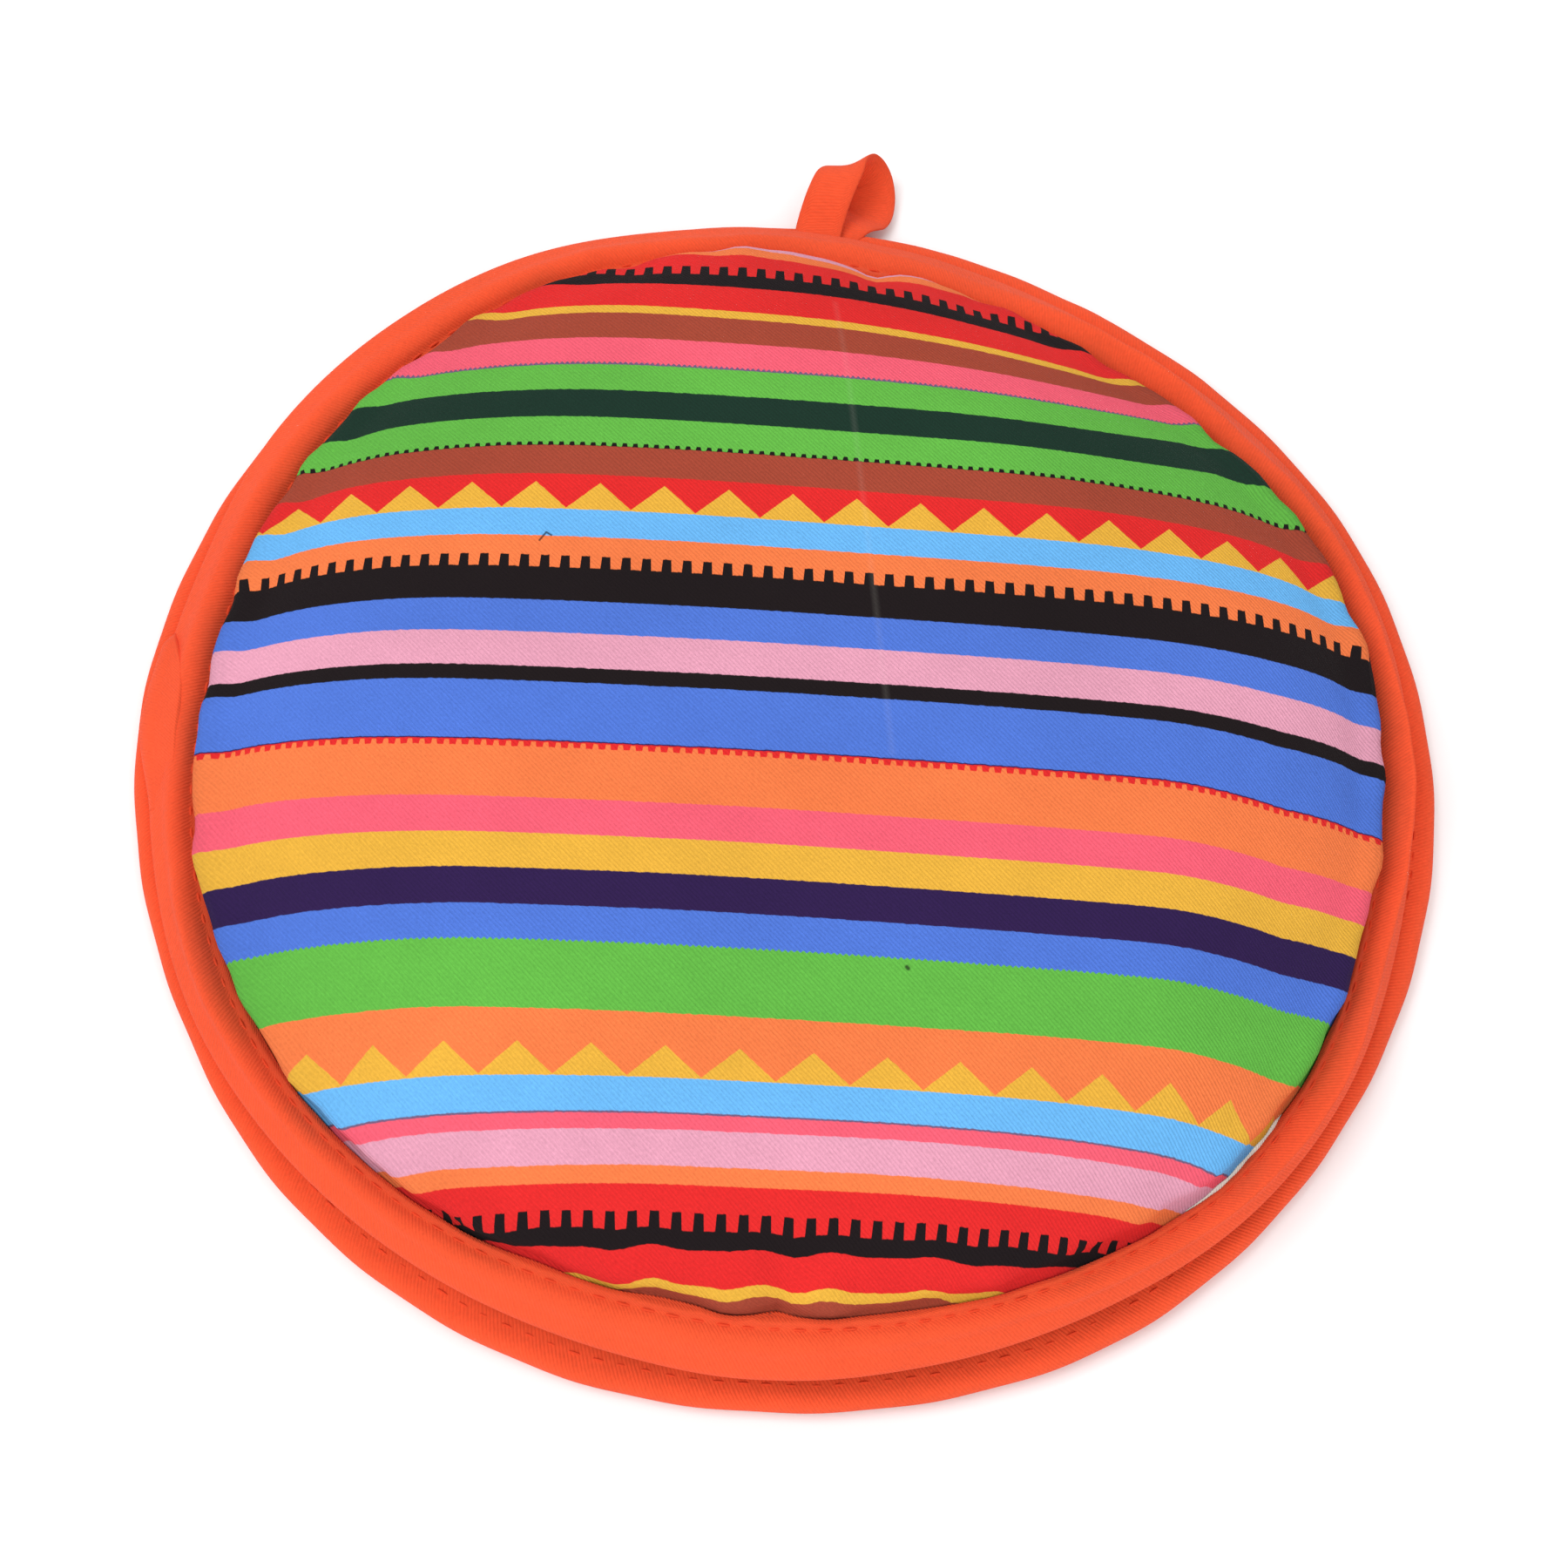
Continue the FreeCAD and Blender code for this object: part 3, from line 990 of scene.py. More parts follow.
    def point(self, azimuth: np.ndarray, run: np.ndarray, above: np.ndarray) -> np.ndarray:
        """Place of a point of the upper disc.

        The section is turned about the axis and lifted along its normal, and the mouth half is bent
        up smoothly about the fold.

        Args:
            azimuth: Direction from the middle, in radians from +X.
            run: Length along the outer cloth from the middle.
            above: Height above the outer cloth's face, below it if negative.

        Returns:
            Points in millimetres, with 3 as the last dimension.
        """
        azimuth, run, above = np.broadcast_arrays(azimuth, run, above)
        radius, height = self.spine(azimuth, run)
        low = self.spine(azimuth, np.maximum(run - self.slope_reach, 0.0))
        high = self.spine(azimuth, run + self.slope_reach)
        along_out, along_up = high[0] - low[0], high[1] - low[1]
        size = np.maximum(np.hypot(along_out, along_up), TINY)
        rise = above + self.puff(azimuth, run)
        radius = np.maximum(radius - rise * along_up / size, 0.0)
        height = height + rise * along_out / size
        x = radius * np.cos(azimuth)
        y = radius * np.sin(azimuth)
        bent = ease((self.fold_y + self.fold_lead - y) / self.fold_spread)
        lift = np.radians(self.lip_lift) * bent
        back, over = y - self.fold_y, height - self.fold_height
        return np.stack([x, self.fold_y + back * np.cos(lift) + over * np.sin(lift),
                         self.fold_height + over * np.cos(lift) - back * np.sin(lift)], -1)


@dataclass
class BackShape:
    """Lower disc: a flat foot and a low crown that meet at the rim."""

    foot: Profile
    crown: Profile
    rim_outward: tuple = (0.3, 1.1, 1.6, 0.7, -0.5, -0.4, 0.4, 1.2, 1.4, 1.2, 0.4, -0.6,
                          -0.4, -1.2, -1.3, 0.5, 1.1, 0.7, -0.3, -0.2, 0.5, -0.6, -1.3, -0.9)
    rim_upward: tuple = ((0.22, 5, 0.3), (0.1, 13, 2.0))

    @staticmethod
    def usual() -> "BackShape":
        """Foot on the floor, rim raised a little, wadding crown inside.

        Returns:
            The lower disc of this pouch.
        """
        return BackShape(
            Profile(((0.0, 0.0), (60.0, 0.0), (112.0, 0.0), (124.0, 0.5), (136.9, 2.3),
                     (149.8, 2.5))),
            Profile(((0.0, 10.2), (50.0, 10.0), (95.0, 9.4), (120.0, 8.2), (130.0, 6.9),
                     (137.0, 5.6), (149.8, 5.5))))

    def drift(self, azimuth: np.ndarray, radius: np.ndarray) -> tuple[np.ndarray, np.ndarray]:
        """Outward and upward drift of the rim: a table and sine waves, eased in near the rim.

        Args:
            azimuth: Direction from the middle, in radians.
            radius: Distance from the axis.

        Returns:
            The two drifts in millimetres.
        """
        hold = ease((radius - 112.0) / 36.0)
        outward = around(self.rim_outward, azimuth) + 0.12 * np.sin(37 * azimuth)
        return outward * hold, ripples(azimuth, self.rim_upward) * hold

    def point(self, face: Profile, azimuth: np.ndarray, run: np.ndarray,
              above: np.ndarray | float) -> np.ndarray:
        """Place of a point above or below one of the disc's faces.

        Args:
            face: The foot or the crown.
            azimuth: Direction from the middle, in radians.
            run: Length along the face from the middle.
            above: Height above the face along its upward normal.

        Returns:
            Points in millimetres, with 3 as the last dimension.
        """
        azimuth, run, above = np.broadcast_arrays(azimuth, run, above)
        radius, height, normal_out, normal_up = face.at(run)
        radius = radius + above * normal_out
        outward, upward = self.drift(azimuth, radius)
        radius = np.maximum(radius + outward, 0.0)
        return np.stack([radius * np.cos(azimuth), radius * np.sin(azimuth),
                         height + above * normal_up + upward], -1)


def disc_grid(length: float, sectors: int, rings: int) -> tuple[np.ndarray, np.ndarray]:
    """Grid of a disc, with rings closer together near the rim.

    The rings follow the sine of a quarter turn, mixed with even steps.

    Args:
        length: Running length from the middle to the rim.
        sectors: Number of points round the disc.
        rings: Number of rings, the middle point being the first.

    Returns:
        Azimuths as a row and running lengths as a column.
    """
    share = np.linspace(0.0, 1.0, rings)
    run = length * (0.55 * share + 0.45 * np.sin(0.5 * np.pi * share))
    return full_turn(sectors)[None, :], run[:, None]


def flat_place(azimuth: np.ndarray, run: np.ndarray) -> np.ndarray:
    """Flat-cut place of the cloth: the running length laid out straight at the same azimuth.

    Near the far edge the print runs a little skew, near the mouth it bows, and at the sides it is
    drawn down and up, as the gathers pull it. Each pull is an eased step times a power of the
    place across.

    Args:
        azimuth: Direction from the middle, in radians.
        run: Length along the cloth from the middle, in millimetres.

    Returns:
        Places across and up the flat cloth, in metres.
    """
    turned = azimuth - math.radians(STRIPE_TURN)
    across, up = run * np.cos(turned), run * np.sin(turned)
    bend = np.minimum(np.abs(across) / 80.0, 1.25) ** 3
    bow = np.minimum(np.abs(across) / 75.0, 1.3) ** 1.6
    pulled = 0.75 * np.sin(across / 3.1 + 0.8) + 0.4 * np.sin(across / 2.0)
    # the far stripes run a little skew, and bend down at their ends
    far = ease((up - 84.0) / 34.0) * (0.045 * across)
    top = ease((up - 55.0) / 35.0) * (3.6 + 1.3 * np.tanh(across / 20.0)) * bend
    # the near stripes bow up at their ends, and waver at the lip
    lip = ease((-up - 116.0) / 18.0) * bell(across, 58.0) * pulled
    near = ease((-up - 76.0) / 38.0) * (2.2 * bow + lip)
    # the gathers take up cloth at the mouth, at the lower left and at the right
    sunk = 1.1 * ease((-up - 60.0) / 30.0) + 1.2 * ease((-up - 95.0) / 30.0)
    left = 3.0 * np.clip((-across - 70.0) / 55.0, 0.0, 1.1) ** 1.5 * ease((-up - 15.0) / 45.0)
    right = 3.2 * np.clip((across - 80.0) / 30.0, 0.0, 1.0) ** 1.5 * ease((35.0 - up) / 60.0)
    up = up + far - top + near + sunk + left + right
    return np.stack(np.broadcast_arrays(across, up), -1) * MM


def stitch_row(count: int, ring: float, half_length: float, half_width: float) -> tuple:
    """Rods of a row of stitches, each drawn in at its ends by the root of 1 less a fourth power.

    Args:
        count: Number of stitches round the rim.
        ring: Radius of the row in millimetres.
        half_length: Half of a stitch's length.
        half_width: Half of a stitch's width.

    Returns:
        Azimuths, shares along each stitch from -1 to 1, and the outward and upward places on the
        thread's own section.
    """
    share = np.linspace(-1.0, 1.0, 7)[None, :, None]
    turn = np.linspace(0, 2 * np.pi, 6, endpoint=False)[None, None, :]
    thin = half_width * np.sqrt(np.maximum(1.0 - share ** 4, 0.04))
    azimuth = full_turn(count, 0.5)[:, None, None] + share * half_length / ring
    return azimuth, share, thin * np.cos(turn), thin * np.sin(turn)


@dataclass
class FrontDisc:
    """Upper disc of the pouch: printed cover, wadding, lining, tape, stitching and tape join."""

    shape: FrontShape
    cover_cloth: float = 0.8
    lining_cloth: float = 0.6
    rim_wadding: float = 1.4
    loft: float = 8.0
    gap: float = 0.1
    tape_width: float = 15.1
    tape_cloth: float = 1.0
    tape_swell: float = 1.15
    sectors: int = 300
    rings: int = 72
    tape_sectors: int = 540
    stitch_pitch: float = 5.3
    stitch_ring: float = 138.0
    hem_rise: float = 0.5
    tape_roll: tuple = (3.6, 3.8, 3.6, 3.0, 2.2, 1.5, 1.2, 1.0, 1.1, 1.2, 1.4, 1.6,
                        1.5, 1.5, 1.3, 0.9, 0.5, 0.3, 0.3, 0.5, 1.0, 2.0, 3.0, 3.4)
    tape_twist: tuple = ((0.30, 7, 1.0), (0.22, 12, 2.0))
    tape_ripples: tuple = ((0.20, 23, 0.4), (0.16, 41, 1.9), (0.10, 67, 0.0))
    stitch_out: float = -10.3
    join_span: tuple = (173.2, 191.0)
    join_edge: tuple = ((173.2, 1.2), (175.0, -1.6), (177.0, -4.4), (179.2, -6.0),
                        (182.0, -6.6), (186.0, -6.9), (191.0, -7.0))
    join_bed: tuple = ((-10.3, -0.2), (-9.0, 0.7), (-7.1, 1.15), (-4.9, 0.92), (-2.4, 0.41),
                       (0.0, 0.0))
    join_end: float = 4.6
    join_bulge: float = 1.6
    join_lift: float = 1.6
    sliver_span: tuple = (-49.5, -36.0)

    def _grid(self) -> tuple[np.ndarray, np.ndarray]:
        """Azimuths and running lengths of the disc's grid."""
        return disc_grid(self.shape.profile.length, self.sectors, self.rings)

    def _on_tape(self, azimuth: np.ndarray, out: np.ndarray, above: np.ndarray) -> np.ndarray:
        """Points of the tape at an outward place from the cover's end and a height over it."""
        run = self.shape.profile.length + self.shape.fit_out(azimuth, out)
        return self.shape.point(azimuth, run, above)

    def _loft(self) -> np.ndarray:
        """Thickness of the wadding at each ring: full at the crown, easing to the rim's edge."""
        thin = ease((self._grid()[1] - 96.0) / 42.0)
        return self.loft + (self.rim_wadding - self.loft) * thin

    def _layer(self, name: str, upper: np.ndarray | float,
               lower: np.ndarray | float) -> bpy.types.Object:
        """One layer of the quilt between two depths below the cover's face.

        Args:
            name: Name of the new object.
            upper: Depth of its upper face, in all or at each ring.
            lower: Depth of its lower face.

        Returns:
            The new object.
        """
        azimuth, run = self._grid()
        top, base = (self.shape.point(azimuth, run, -depth) for depth in (upper, lower))
        return MeshKit.disc(name, top, base, flat_place(azimuth, run))

    def build_cover(self) -> bpy.types.Object:
        """Printed outer cloth, with shade painted by its depth in the crease beside the tape.

        Returns:
            The new object.
        """
        cover = self._layer("front_cover_cloth", 0.0, self.cover_cloth)
        azimuth, run = self._grid()
        inside = np.maximum(self.shape.tape_edge(azimuth) - run, 0.0)
        # painted shade: darker colour deep in the crease beside the tape
        deep = self.shape.crease_depth_and_painted_shade(azimuth) * (0.85 * bell(inside, 2.6)
                                                   + 0.42 * bell(inside, 7.5))
        MeshKit.set_painted_crease_shade(cover, np.tile(np.concatenate([deep[:1, 0], deep[1:].ravel()]), 2))
        return cover

    def build_wadding(self) -> bpy.types.Object:
        """Soft filling under the cover."""
        top = self.cover_cloth + self.gap
        return self._layer("front_wadding_pad", top, top + self._loft())

    def build_lining(self) -> bpy.types.Object:
        """Inner cloth, towards the breads."""
        top = self.cover_cloth + 2 * self.gap + self._loft()
        return self._layer("front_lining_cloth", top, top + self.lining_cloth)

    def section(self) -> TapeSection:
        """Tape's outline round this disc's rim."""
        core = self.cover_cloth + self.lining_cloth + self.rim_wadding + 2 * self.gap
        return TapeSection(self.tape_width, self.tape_cloth, core, self.tape_swell)

    def stitch_count(self) -> int:
        """Number of stitches round the rim."""
        return round(2 * math.pi * self.stitch_ring / self.stitch_pitch)

    def build_tape(self) -> bpy.types.Object:
        """Folded tape round the rim, puckered at its seam and creased along its nose.

        The tape's roll, pucker, ripple, hem and crease are each a wave round the rim times a bell
        in the outward place, and rise only on its top.

        Returns:
            The new object.
        """
        outline = self.section().outline()
        azimuth = full_turn(self.tape_sectors)[:, None]
        out, above = outline[None, :, 0], outline[None, :, 1]
        depth = self.shape.crease_depth_and_painted_shade(azimuth)
        roll = (around(self.tape_roll, azimuth) * ripples(azimuth, self.tape_twist, 1.0)
                * bell(out + 4.9 + 0.7 * np.sin(4 * azimuth), 2.8))
        pucker = 0.16 * np.cos(self.stitch_count() * azimuth) * bell(out + 10.2, 1.6)
        ripple = ripples(azimuth, self.tape_ripples) * bell(out + 6.5, 4.5)
        hem = self.hem_rise * depth * bell(out + 11.6, 1.9)
        crease = (-0.45 * bell(out + 3.3 - 0.5 * np.sin(6 * azimuth), 0.9)
                  * (0.6 + 0.4 * np.sin(5 * azimuth + 1)))
        rise = ease(above + 0.5) * (pucker + ripple + crease + roll + hem)
        tape = MeshKit.tube("front_rim_tape", self._on_tape(azimuth, out, above + rise),
                            (0.925, 0.034))
        # painted shade: darker colour along the tape's inner edge, in the crease beside the cover
        MeshKit.set_painted_crease_shade(tape, 0.55 * (depth * bell(out + 12.4, 3.8)))
        return tape

    def build_stitches(self) -> bpy.types.Object:
        """Row of thread stitches along the tape's inner edge: short rods sunk into the tape.

        Returns:
            The new object.
        """
        row = stitch_row(self.stitch_count(), self.stitch_ring, 1.6, 0.3)
        azimuth, share, outward, upward = row
        hem = self.hem_rise * self.shape.crease_depth_and_painted_shade(azimuth) * bell(1.3, 1.9)
        above = 1.0 - 0.30 * share ** 2 + upward + hem
        points = self._on_tape(azimuth, self.stitch_out + outward, above)
        return MeshKit.rods("front_rim_stitches", points[:, :, ::-1])

    def build_join(self) -> bpy.types.Object:
        """Tape's end folded over its start: a pointed second layer that bulges and fades.

        Each row runs over the tape's top and on round its nose, as an arc whose outward radius
        grows by the bulge. The rows' inner ends draw the fold's edge.

        Returns:
            The new object.
        """
        section = self.section()
        start, end = self.join_span
        degrees = np.linspace(start, end, 60)[:, None]
        share = np.linspace(0.0, 1.0, 30)[None, :]
        azimuth = np.radians(degrees)
        grown = np.clip((degrees - start) / 8.4, 0.0, 1.0)
        faded = ease((end - degrees) / 9.0)
        bulge = self.join_bulge * grown * faded
        lift = self.join_lift * faded * ease(share / 0.05 + 0.3) * ease(grown / 0.2 + 0.2)
        inner = np.interp(degrees, *zip(*self.join_edge))
        along = inner + (self.join_end - inner) * share
        on_top = along < 0
        middle = -0.5 * section.core
        nose = 0.5 * section.core + section.cloth + section.gap
        turn = np.maximum(along, 0.0) / nose
        bed = section.cloth + section.gap + np.interp(along, *zip(*self.join_bed))

        def face(extra: np.ndarray) -> np.ndarray:
            """Points of the layer at a height over the tape.

            Args:
                extra: Height over the tape's bed.

            Returns:
                Points in millimetres.
            """
            radius = nose + extra
            return self._on_tape(
                azimuth, np.where(on_top, along, (radius + bulge) * np.sin(turn)),
                np.where(on_top, bed + extra,
                         middle + (radius + 0.25 * bulge * turn) * np.cos(turn)))

        points = np.concatenate([face(lift + 0.03), face(0.0 * lift - 0.4)[:, ::-1]], 1)
        return MeshKit.tube("tape_join_fold", points, (0.05, 0.024), closed=False)

    def build_sliver(self) -> bpy.types.Object:
        """Pale raw edge of the lining that shows beside the tape at the lower right.

        Returns:
            The new object.
        """
        start, end = self.sliver_span
        degrees = np.linspace(start, end, 60)[:, None]
        azimuth = np.radians(degrees)
        turn = np.linspace(0, 2 * np.pi, 10, endpoint=False)[None, :]
        taper = (ease((degrees - start) / 4.0) * ease((end - degrees) / 1.2)
                 * (1.0 + 0.2 * np.sin(degrees * 2.3)))
        run = self.shape.tape_edge(azimuth) - 0.5 + (0.15 + 0.75 * taper) * np.cos(turn)
        points = self.shape.point(azimuth, run, 0.1 + (0.1 + 0.35 * taper) * np.sin(turn))
        return MeshKit.tube("pale_seam_edge", points[:, ::-1], (0.03, 0.003), closed=False)


@dataclass
class BackDisc:
    """Lower disc of the pouch: printed cover, wadding, lining, tape and stitching."""

    shape: BackShape
    cover_cloth: float = 0.8
    lining_cloth: float = 0.6
    gap: float = 0.1
    tape_width: float = 15.0
    tape_cloth: float = 1.0
    tape_core: float = 3.0
    tape_swell: float = 0.1
    sectors: int = 240
    rings: int = 56
    tape_sectors: int = 480
    stitches: int = 180
    stitch_ring: float = 146.0
    stitch_out: float = -2.7

    def _face(self, face: Profile, above: float) -> np.ndarray:
        """Grid of points at a height above the foot or the crown."""
        azimuth, run = disc_grid(face.length, self.sectors, self.rings)
        return self.shape.point(face, azimuth, run, above)

    def build_cover(self) -> bpy.types.Object:
        """Printed cloth under the pouch, from the foot's face up by its own thickness.

        Returns:
            The new object.
        """
        foot = self.shape.foot
        azimuth, run = disc_grid(foot.length, self.sectors, self.rings)
        return MeshKit.disc("back_cover_cloth", self._face(foot, self.cover_cloth),
                            self._face(foot, 0.0), flat_place(np.pi - azimuth, run))

    def build_wadding(self) -> bpy.types.Object:
        """Filling between the cover and the lining.

        Returns:
            The new object.
        """
        foot, crown = self.shape.foot, self.shape.crown
        flat = flat_place(*disc_grid(crown.length, self.sectors, self.rings))
        return MeshKit.disc("back_wadding_pad", self._face(crown, -self.lining_cloth - self.gap),
                            self._face(foot, self.cover_cloth + self.gap), flat)

    def build_lining(self) -> bpy.types.Object:
        """Inner cloth that the breads lie on.

        Returns:
            The new object.
        """
        crown = self.shape.crown
        flat = flat_place(*disc_grid(crown.length, self.sectors, self.rings))
        return MeshKit.disc("back_lining_cloth", self._face(crown, 0.0),
                            self._face(crown, -self.lining_cloth), flat)

    def build_tape(self) -> bpy.types.Object:
        """Folded tape round the lower rim, dimpled by the seam that joins the two rims.

        Returns:
            The new object.
        """
        outline = TapeSection(self.tape_width, self.tape_cloth, self.tape_core,
                              self.tape_swell).outline(48)
        crown = self.shape.crown
        azimuth = full_turn(self.tape_sectors)[:, None]
        out, above = outline[None, :, 0], outline[None, :, 1]
        top = ease(above + 0.5)
        dimples = -0.22 * np.cos(self.stitches * azimuth) ** 2 * bell(out - self.stitch_out, 1.1)
        ripple = (0.16 * np.sin(29 * azimuth + 0.9) * bell(out, 3.0)
                  + 0.12 * np.sin(53 * azimuth) * bell(out, 4.0))
        points = self.shape.point(crown, azimuth, crown.length + out,
                                  above + dimples * top + ripple * top)
        return MeshKit.tube("back_rim_tape", points, (0.95, 0.034))

    def build_stitches(self) -> bpy.types.Object:
        """Row of stitches along the lower tape, just inside its nose.

        Returns:
            The new object.
        """
        azimuth, share, outward, upward = stitch_row(self.stitches, self.stitch_ring, 1.5, 0.26)
        run = self.shape.crown.length + (self.stitch_out + outward)
        points = self.shape.point(self.shape.crown, azimuth, run,
                                  1.05 - 0.32 * share ** 2 + upward)
        return MeshKit.rods("back_rim_stitches", points[:, :, ::-1])


@dataclass
class HangingLoop:
    """Folded tape caught between the rims: out of the seam, round an open bend, and back beside it.

    Each station gives a place of the tape's middle line, then the direction across its width.
    """

    half_width: float = 5.9
    cloth: float = 1.2
    foot_cloth: float = 0.7
    press_start: float = 150.0
    press_fade: float = 6.0
    stations: tuple = (
        (0.6, 141.5, 7.95, 0.98, -0.10, 0.00), (1.2, 147.0, 7.95, 0.98, -0.12, 0.02),
        (2.2, 153.0, 8.6, 0.98, -0.14, 0.05), (4.0, 159.5, 10.9, 0.97, -0.08, 0.10),
        (6.2, 165.2, 12.0, 0.95, 0.08, 0.16), (8.8, 169.2, 10.9, 0.94, 0.24, 0.14),
        (12.2, 170.6, 8.2, 0.93, 0.26, 0.0), (15.2, 169.2, 5.0, 0.93, 0.22, -0.08),
        (15.9, 164.6, 2.9, 0.96, 0.02, -0.04), (14.4, 159.2, 2.9, 0.97, -0.12, 0.0),
        (9.0, 154.2, 5.8, 0.97, -0.20, 0.0), (3.6, 147.0, 7.02, 0.98, -0.14, 0.0),
        (1.6, 141.5, 7.02, 0.98, -0.10, 0.0))

    def build(self) -> bpy.types.Object:
        """Tape as a flat section carried along its middle line.

        The section is a rounded flat bar, from powers of a cosine and a sine. The tape thins where
        the rims press it.

        Returns:
            The loop with both its ends, as one closed piece.
        """
        table = np.array(self.stations)
        turn = math.radians(STRIPE_TURN)
        for first in (0, 3):
            x, y = table[:, first].copy(), table[:, first + 1].copy()
            table[:, first] = x * math.cos(turn) - y * math.sin(turn)
            table[:, first + 1] = x * math.sin(turn) + y * math.cos(turn)
        path = smooth_path(table, 120)
        middle, wide = path[:, :3], path[:, 3:]
        ahead = np.gradient(middle, axis=0)
        ahead /= np.linalg.norm(ahead, axis=1)[:, None]
        wide -= (wide * ahead).sum(1)[:, None] * ahead
        wide /= np.linalg.norm(wide, axis=1)[:, None]
        up = np.cross(wide, ahead)
        pressed = 1.0 - ease((middle[:, 1] - self.press_start) / self.press_fade)
        thick = 0.5 * (self.cloth + (self.foot_cloth - self.cloth) * pressed)
        corner = np.linspace(0, 2 * np.pi, 28, endpoint=False)
        flat, deep = (np.sign(wave) * np.abs(wave) ** power
                      for wave, power in ((np.cos(corner), 0.35), (np.sin(corner), 0.7)))
        points = (middle[:, None] + wide[:, None] * (flat * self.half_width)[None, :, None]
                  + up[:, None] * (thick[:, None] * deep[None, :])[:, :, None])
        return MeshKit.tube("hanging_tape_loop", points, (0.085, 0.026), closed=False)


@dataclass
class Stage:
    """Pale floor, soft light from the upper left, and the camera at the photograph's place.

    Each lamp has a name, a place and a size in metres, and a power in watts. The camera's place is
    in millimetres, its angles in degrees, and its focal length in pixels of the picture.
    """

    lamps: tuple = (("key", (-0.75, -0.2, 1.25), 0.9, 10.5),
                    ("fill", (0.35, -1.25, 0.85), 1.3, 9.0),
                    ("rear", (0.1, 1.2, 1.1), 1.4, 6.0))
    world_light: float = 0.64
    floor_reach: float = 4000.0
    floor_height: float = -0.05
    camera_place: tuple = (-23.88, -273.12, 565.63)
    elevation: float = 64.472
    swing: float = -5.992
    roll: float = 8.805
    focal: float = 3055.93
    picture: float = 1800.0
    sensor: float = 36.0

    def build(self, finish: bpy.types.Material) -> None:
        """Adds the floor, the lights, the world and the camera.

        Args:
            finish: Material of the floor.
        """
        reach = self.floor_reach
        corners = np.array([(x, y, self.floor_height) for x, y in
                            ((-reach, -reach), (reach, -reach), (reach, reach), (-reach, reach))])
        floor = MeshKit.add("pale_floor", corners, np.array([[0, 1, 2, 3]]), corners[:, :2] * MM)
        floor.data.materials.append(finish)
        for lamp in self.lamps:
            self._lamp(*lamp)
        world = bpy.data.worlds.new("studio")
        world.use_nodes = True
        sky = world.node_tree.nodes["Background"].inputs
        sky[0].default_value = (1.0, 1.0, 1.0, 1.0)
        sky[1].default_value = self.world_light
        bpy.context.scene.world = world
        bpy.context.scene.view_settings.view_transform = "Standard"
        self._camera()

    @staticmethod
    def _stand(name: str, data: bpy.types.ID, axes: tuple, place: np.ndarray) -> bpy.types.Object:
        """Stands a lamp or a camera in the scene.

        Args:
            name: Name of the new object.
            data: The lamp or the camera.
            axes: Directions of its side, its top and its back.
            place: Its place in metres.

        Returns:
            The new object.
        """
        thing = bpy.data.objects.new(name, data)
        rows = np.column_stack([*axes, place]).tolist()
        thing.matrix_world = Matrix([*rows, [0.0, 0.0, 0.0, 1.0]])
        bpy.context.scene.collection.objects.link(thing)
        return thing

    def _lamp(self, name: str, place: tuple, size: float, power: float) -> None:
        """Square soft light, pointed at the pouch.

        Args:
            name: Name of the lamp.
            place: Its place in metres.
            size: Length of its side in metres.
            power: Its power in watts.
        """
        data = bpy.data.lights.new(name, "AREA")
        data.size = size
        data.energy = power
        back = np.array(place) / np.linalg.norm(place)
        side = np.cross((0.0, 0.0, 1.0), back)
        side /= np.linalg.norm(side)
        self._stand(name, data, (side, np.cross(back, side), back), np.array(place))

    def _camera(self) -> None:
        """Camera from its fitted elevation, swing and roll: the view's axes turned by the roll."""
        rise, swing, roll = (math.radians(angle)
                             for angle in (self.elevation, self.swing, self.roll))
        swing += math.radians(STRIPE_TURN)
        back = np.array([math.sin(swing) * math.cos(rise), -math.cos(swing) * math.cos(rise),
                         math.sin(rise)])
        right = np.array([math.cos(swing), math.sin(swing), 0.0])
        upward = np.cross(right, -back)
        side = math.cos(roll) * right + math.sin(roll) * upward
        top = -math.sin(roll) * right + math.cos(roll) * upward
        data = bpy.data.cameras.new("photograph_view")
        data.sensor_width = self.sensor
        data.lens = self.focal / self.picture * self.sensor
        data.clip_end = 50.0
        bpy.context.scene.camera = self._stand("photograph_view", data, (side, top, back),
                                               np.array(self.camera_place) * MM)


def note_piece(piece: bpy.types.Object) -> None:
    """Notes a finished piece in the log."""
    log.info("%s: %d faces", piece.name, len(piece.data.polygons))


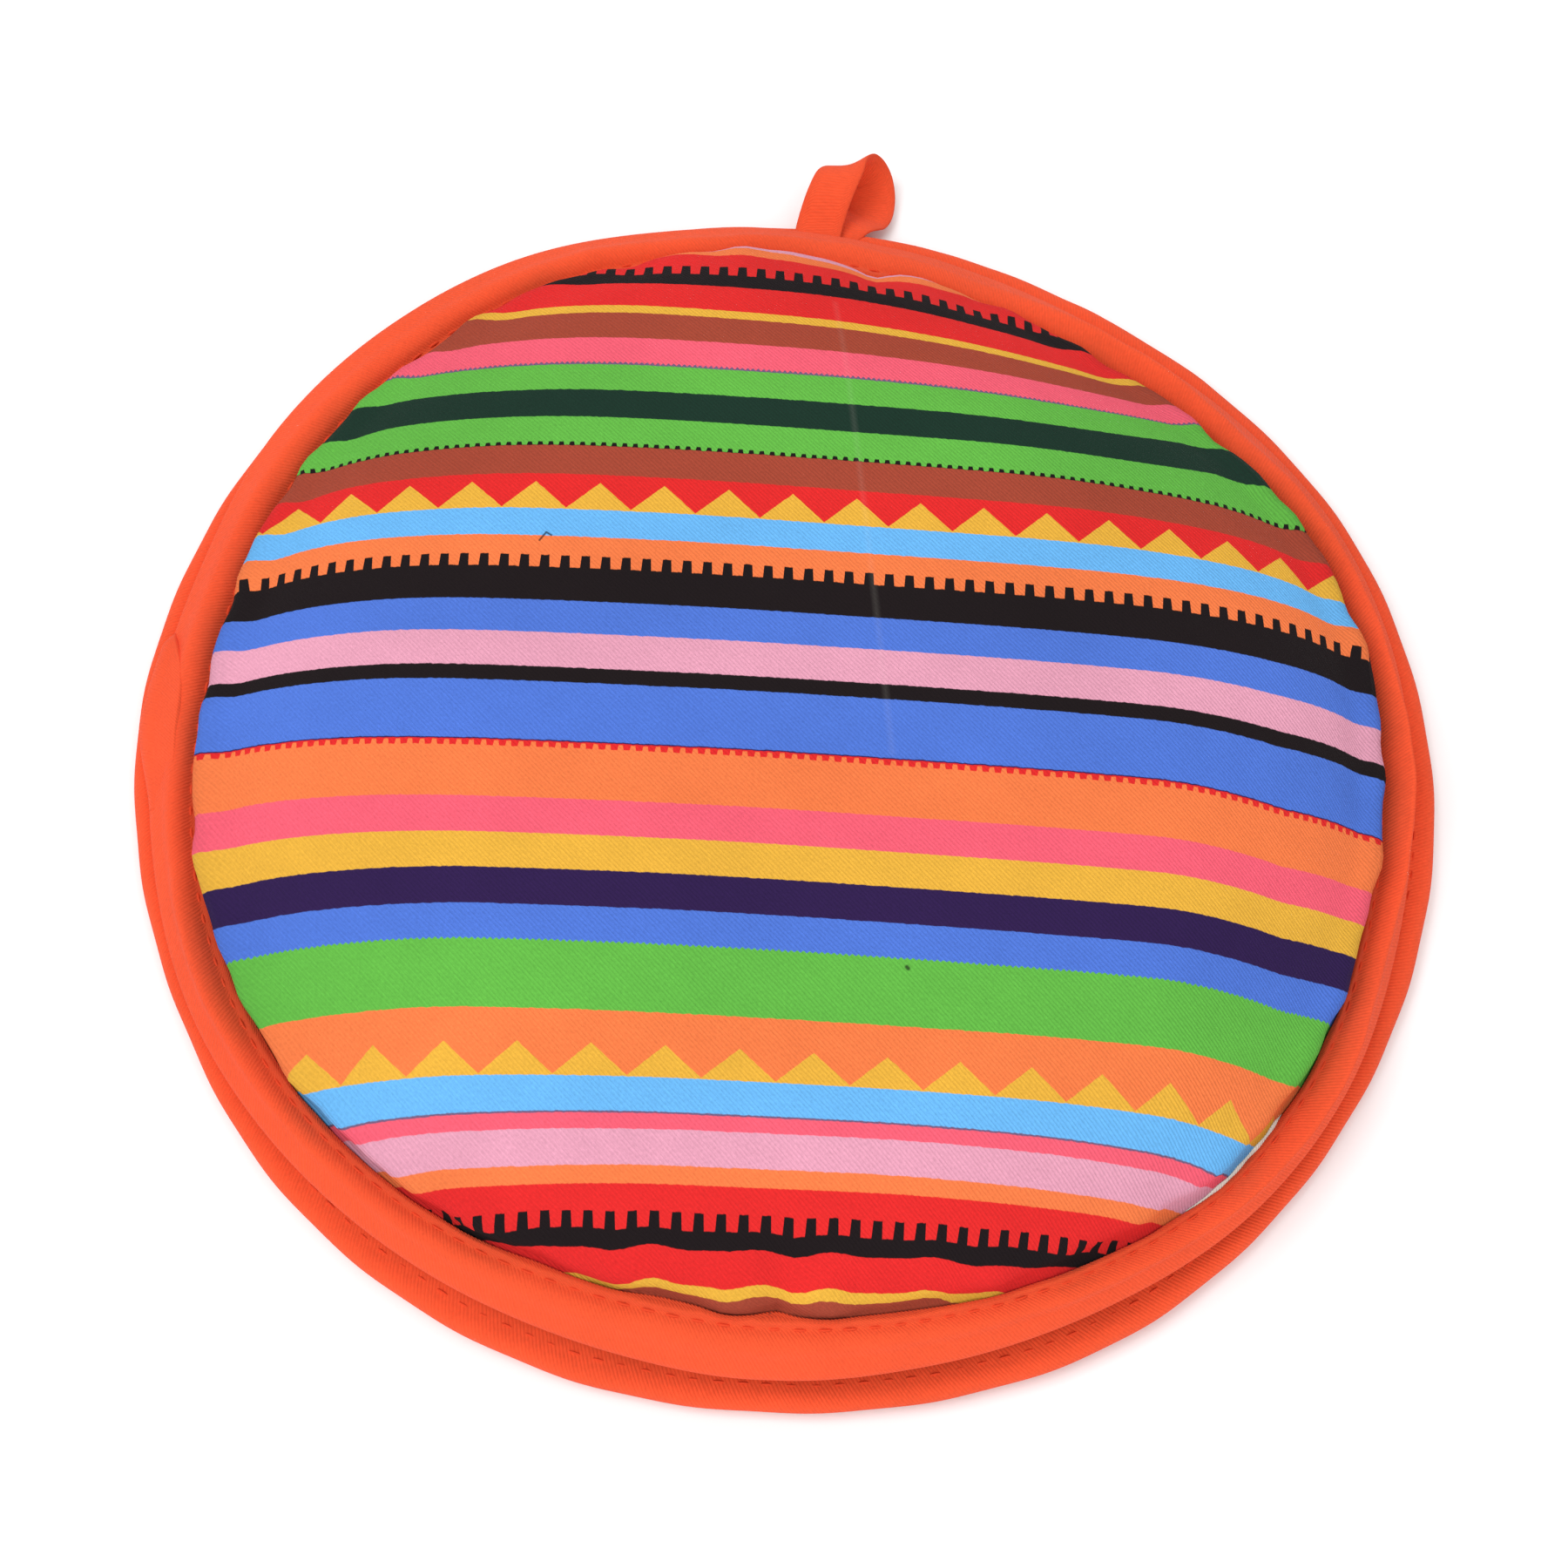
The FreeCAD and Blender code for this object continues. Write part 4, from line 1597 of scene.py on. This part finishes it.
@dataclass
class Pouch:
    """The whole object: builds each sub-assembly and dresses it, and ties the lower disc to the
    frame's pouch body.
    """

    wardrobe: Wardrobe
    fold_start: tuple = (0.0, -0.022, 0.03)
    fold_end: tuple = (0.0, -0.118, 0.03)

    def _quilt(self, disc: FrontDisc | BackDisc, printed: bpy.types.Material) -> tuple:
        """Builds and dresses what both discs have: cover, wadding, lining, tape and stitches.

        Args:
            disc: Disc to build.
            printed: Finish of its cover.

        Returns:
            The five pieces, in that order.
        """
        finishes = self.wardrobe
        return (dress(disc.build_cover(), printed),
                dress(disc.build_wadding(), finishes.wadding),
                dress(disc.build_lining(), finishes.calico),
                dress(disc.build_tape(), finishes.tape),
                dress(disc.build_stitches(), finishes.thread))

    def build_front(self) -> None:
        """Builds the upper disc, and bends it smoothly from the pouch to the mouth flap."""
        disc = FrontDisc(FrontShape.usual())
        cover, wadding, lining, tape, stitches = self._quilt(disc, self.wardrobe.printed)
        join = dress(disc.build_join(), self.wardrobe.tape)
        sliver = dress(disc.build_sliver(), self.wardrobe.calico)
        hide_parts("front_cover_rear", "front_cover_flap")
        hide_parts("front_wadding_rear", "front_wadding_flap")
        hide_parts("front_lining_rear", "front_lining_flap")
        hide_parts("front_binding_rear", "front_binding_flap")
        for piece in (cover, wadding, lining, tape, stitches, join, sliver):
            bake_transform(piece)
            note_piece(piece)

    def build_back(self) -> None:
        """Builds the lower disc, which rides on the pouch."""
        disc = BackDisc(BackShape.usual())
        cover, wadding, lining, tape, stitches = self._quilt(disc, self.wardrobe.lower)
        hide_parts("back_cover")
        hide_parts("back_wadding")
        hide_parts("back_lining")
        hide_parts("back_binding")
        for piece in (cover, wadding, lining, tape, stitches):
            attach(piece, "pouch")
            note_piece(piece)

    def build_loop(self) -> None:
        """Builds the hanging loop, and bends it at the edge of the rim."""
        loop = dress(HangingLoop().build(), self.wardrobe.tape)
        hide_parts("hanging_loop", "loop_foot")
        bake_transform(loop)
        note_piece(loop)


def main() -> None:
    """Builds the object piece by piece, and the stage."""
    logging.basicConfig(level=logging.INFO, format="%(name)s %(message)s")
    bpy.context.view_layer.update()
    wardrobe = Wardrobe()
    pouch = Pouch(wardrobe)
    pouch.build_back()
    pouch.build_front()
    pouch.build_loop()
    Stage().build(wardrobe.floor)


if __name__ == "__main__":
    main()
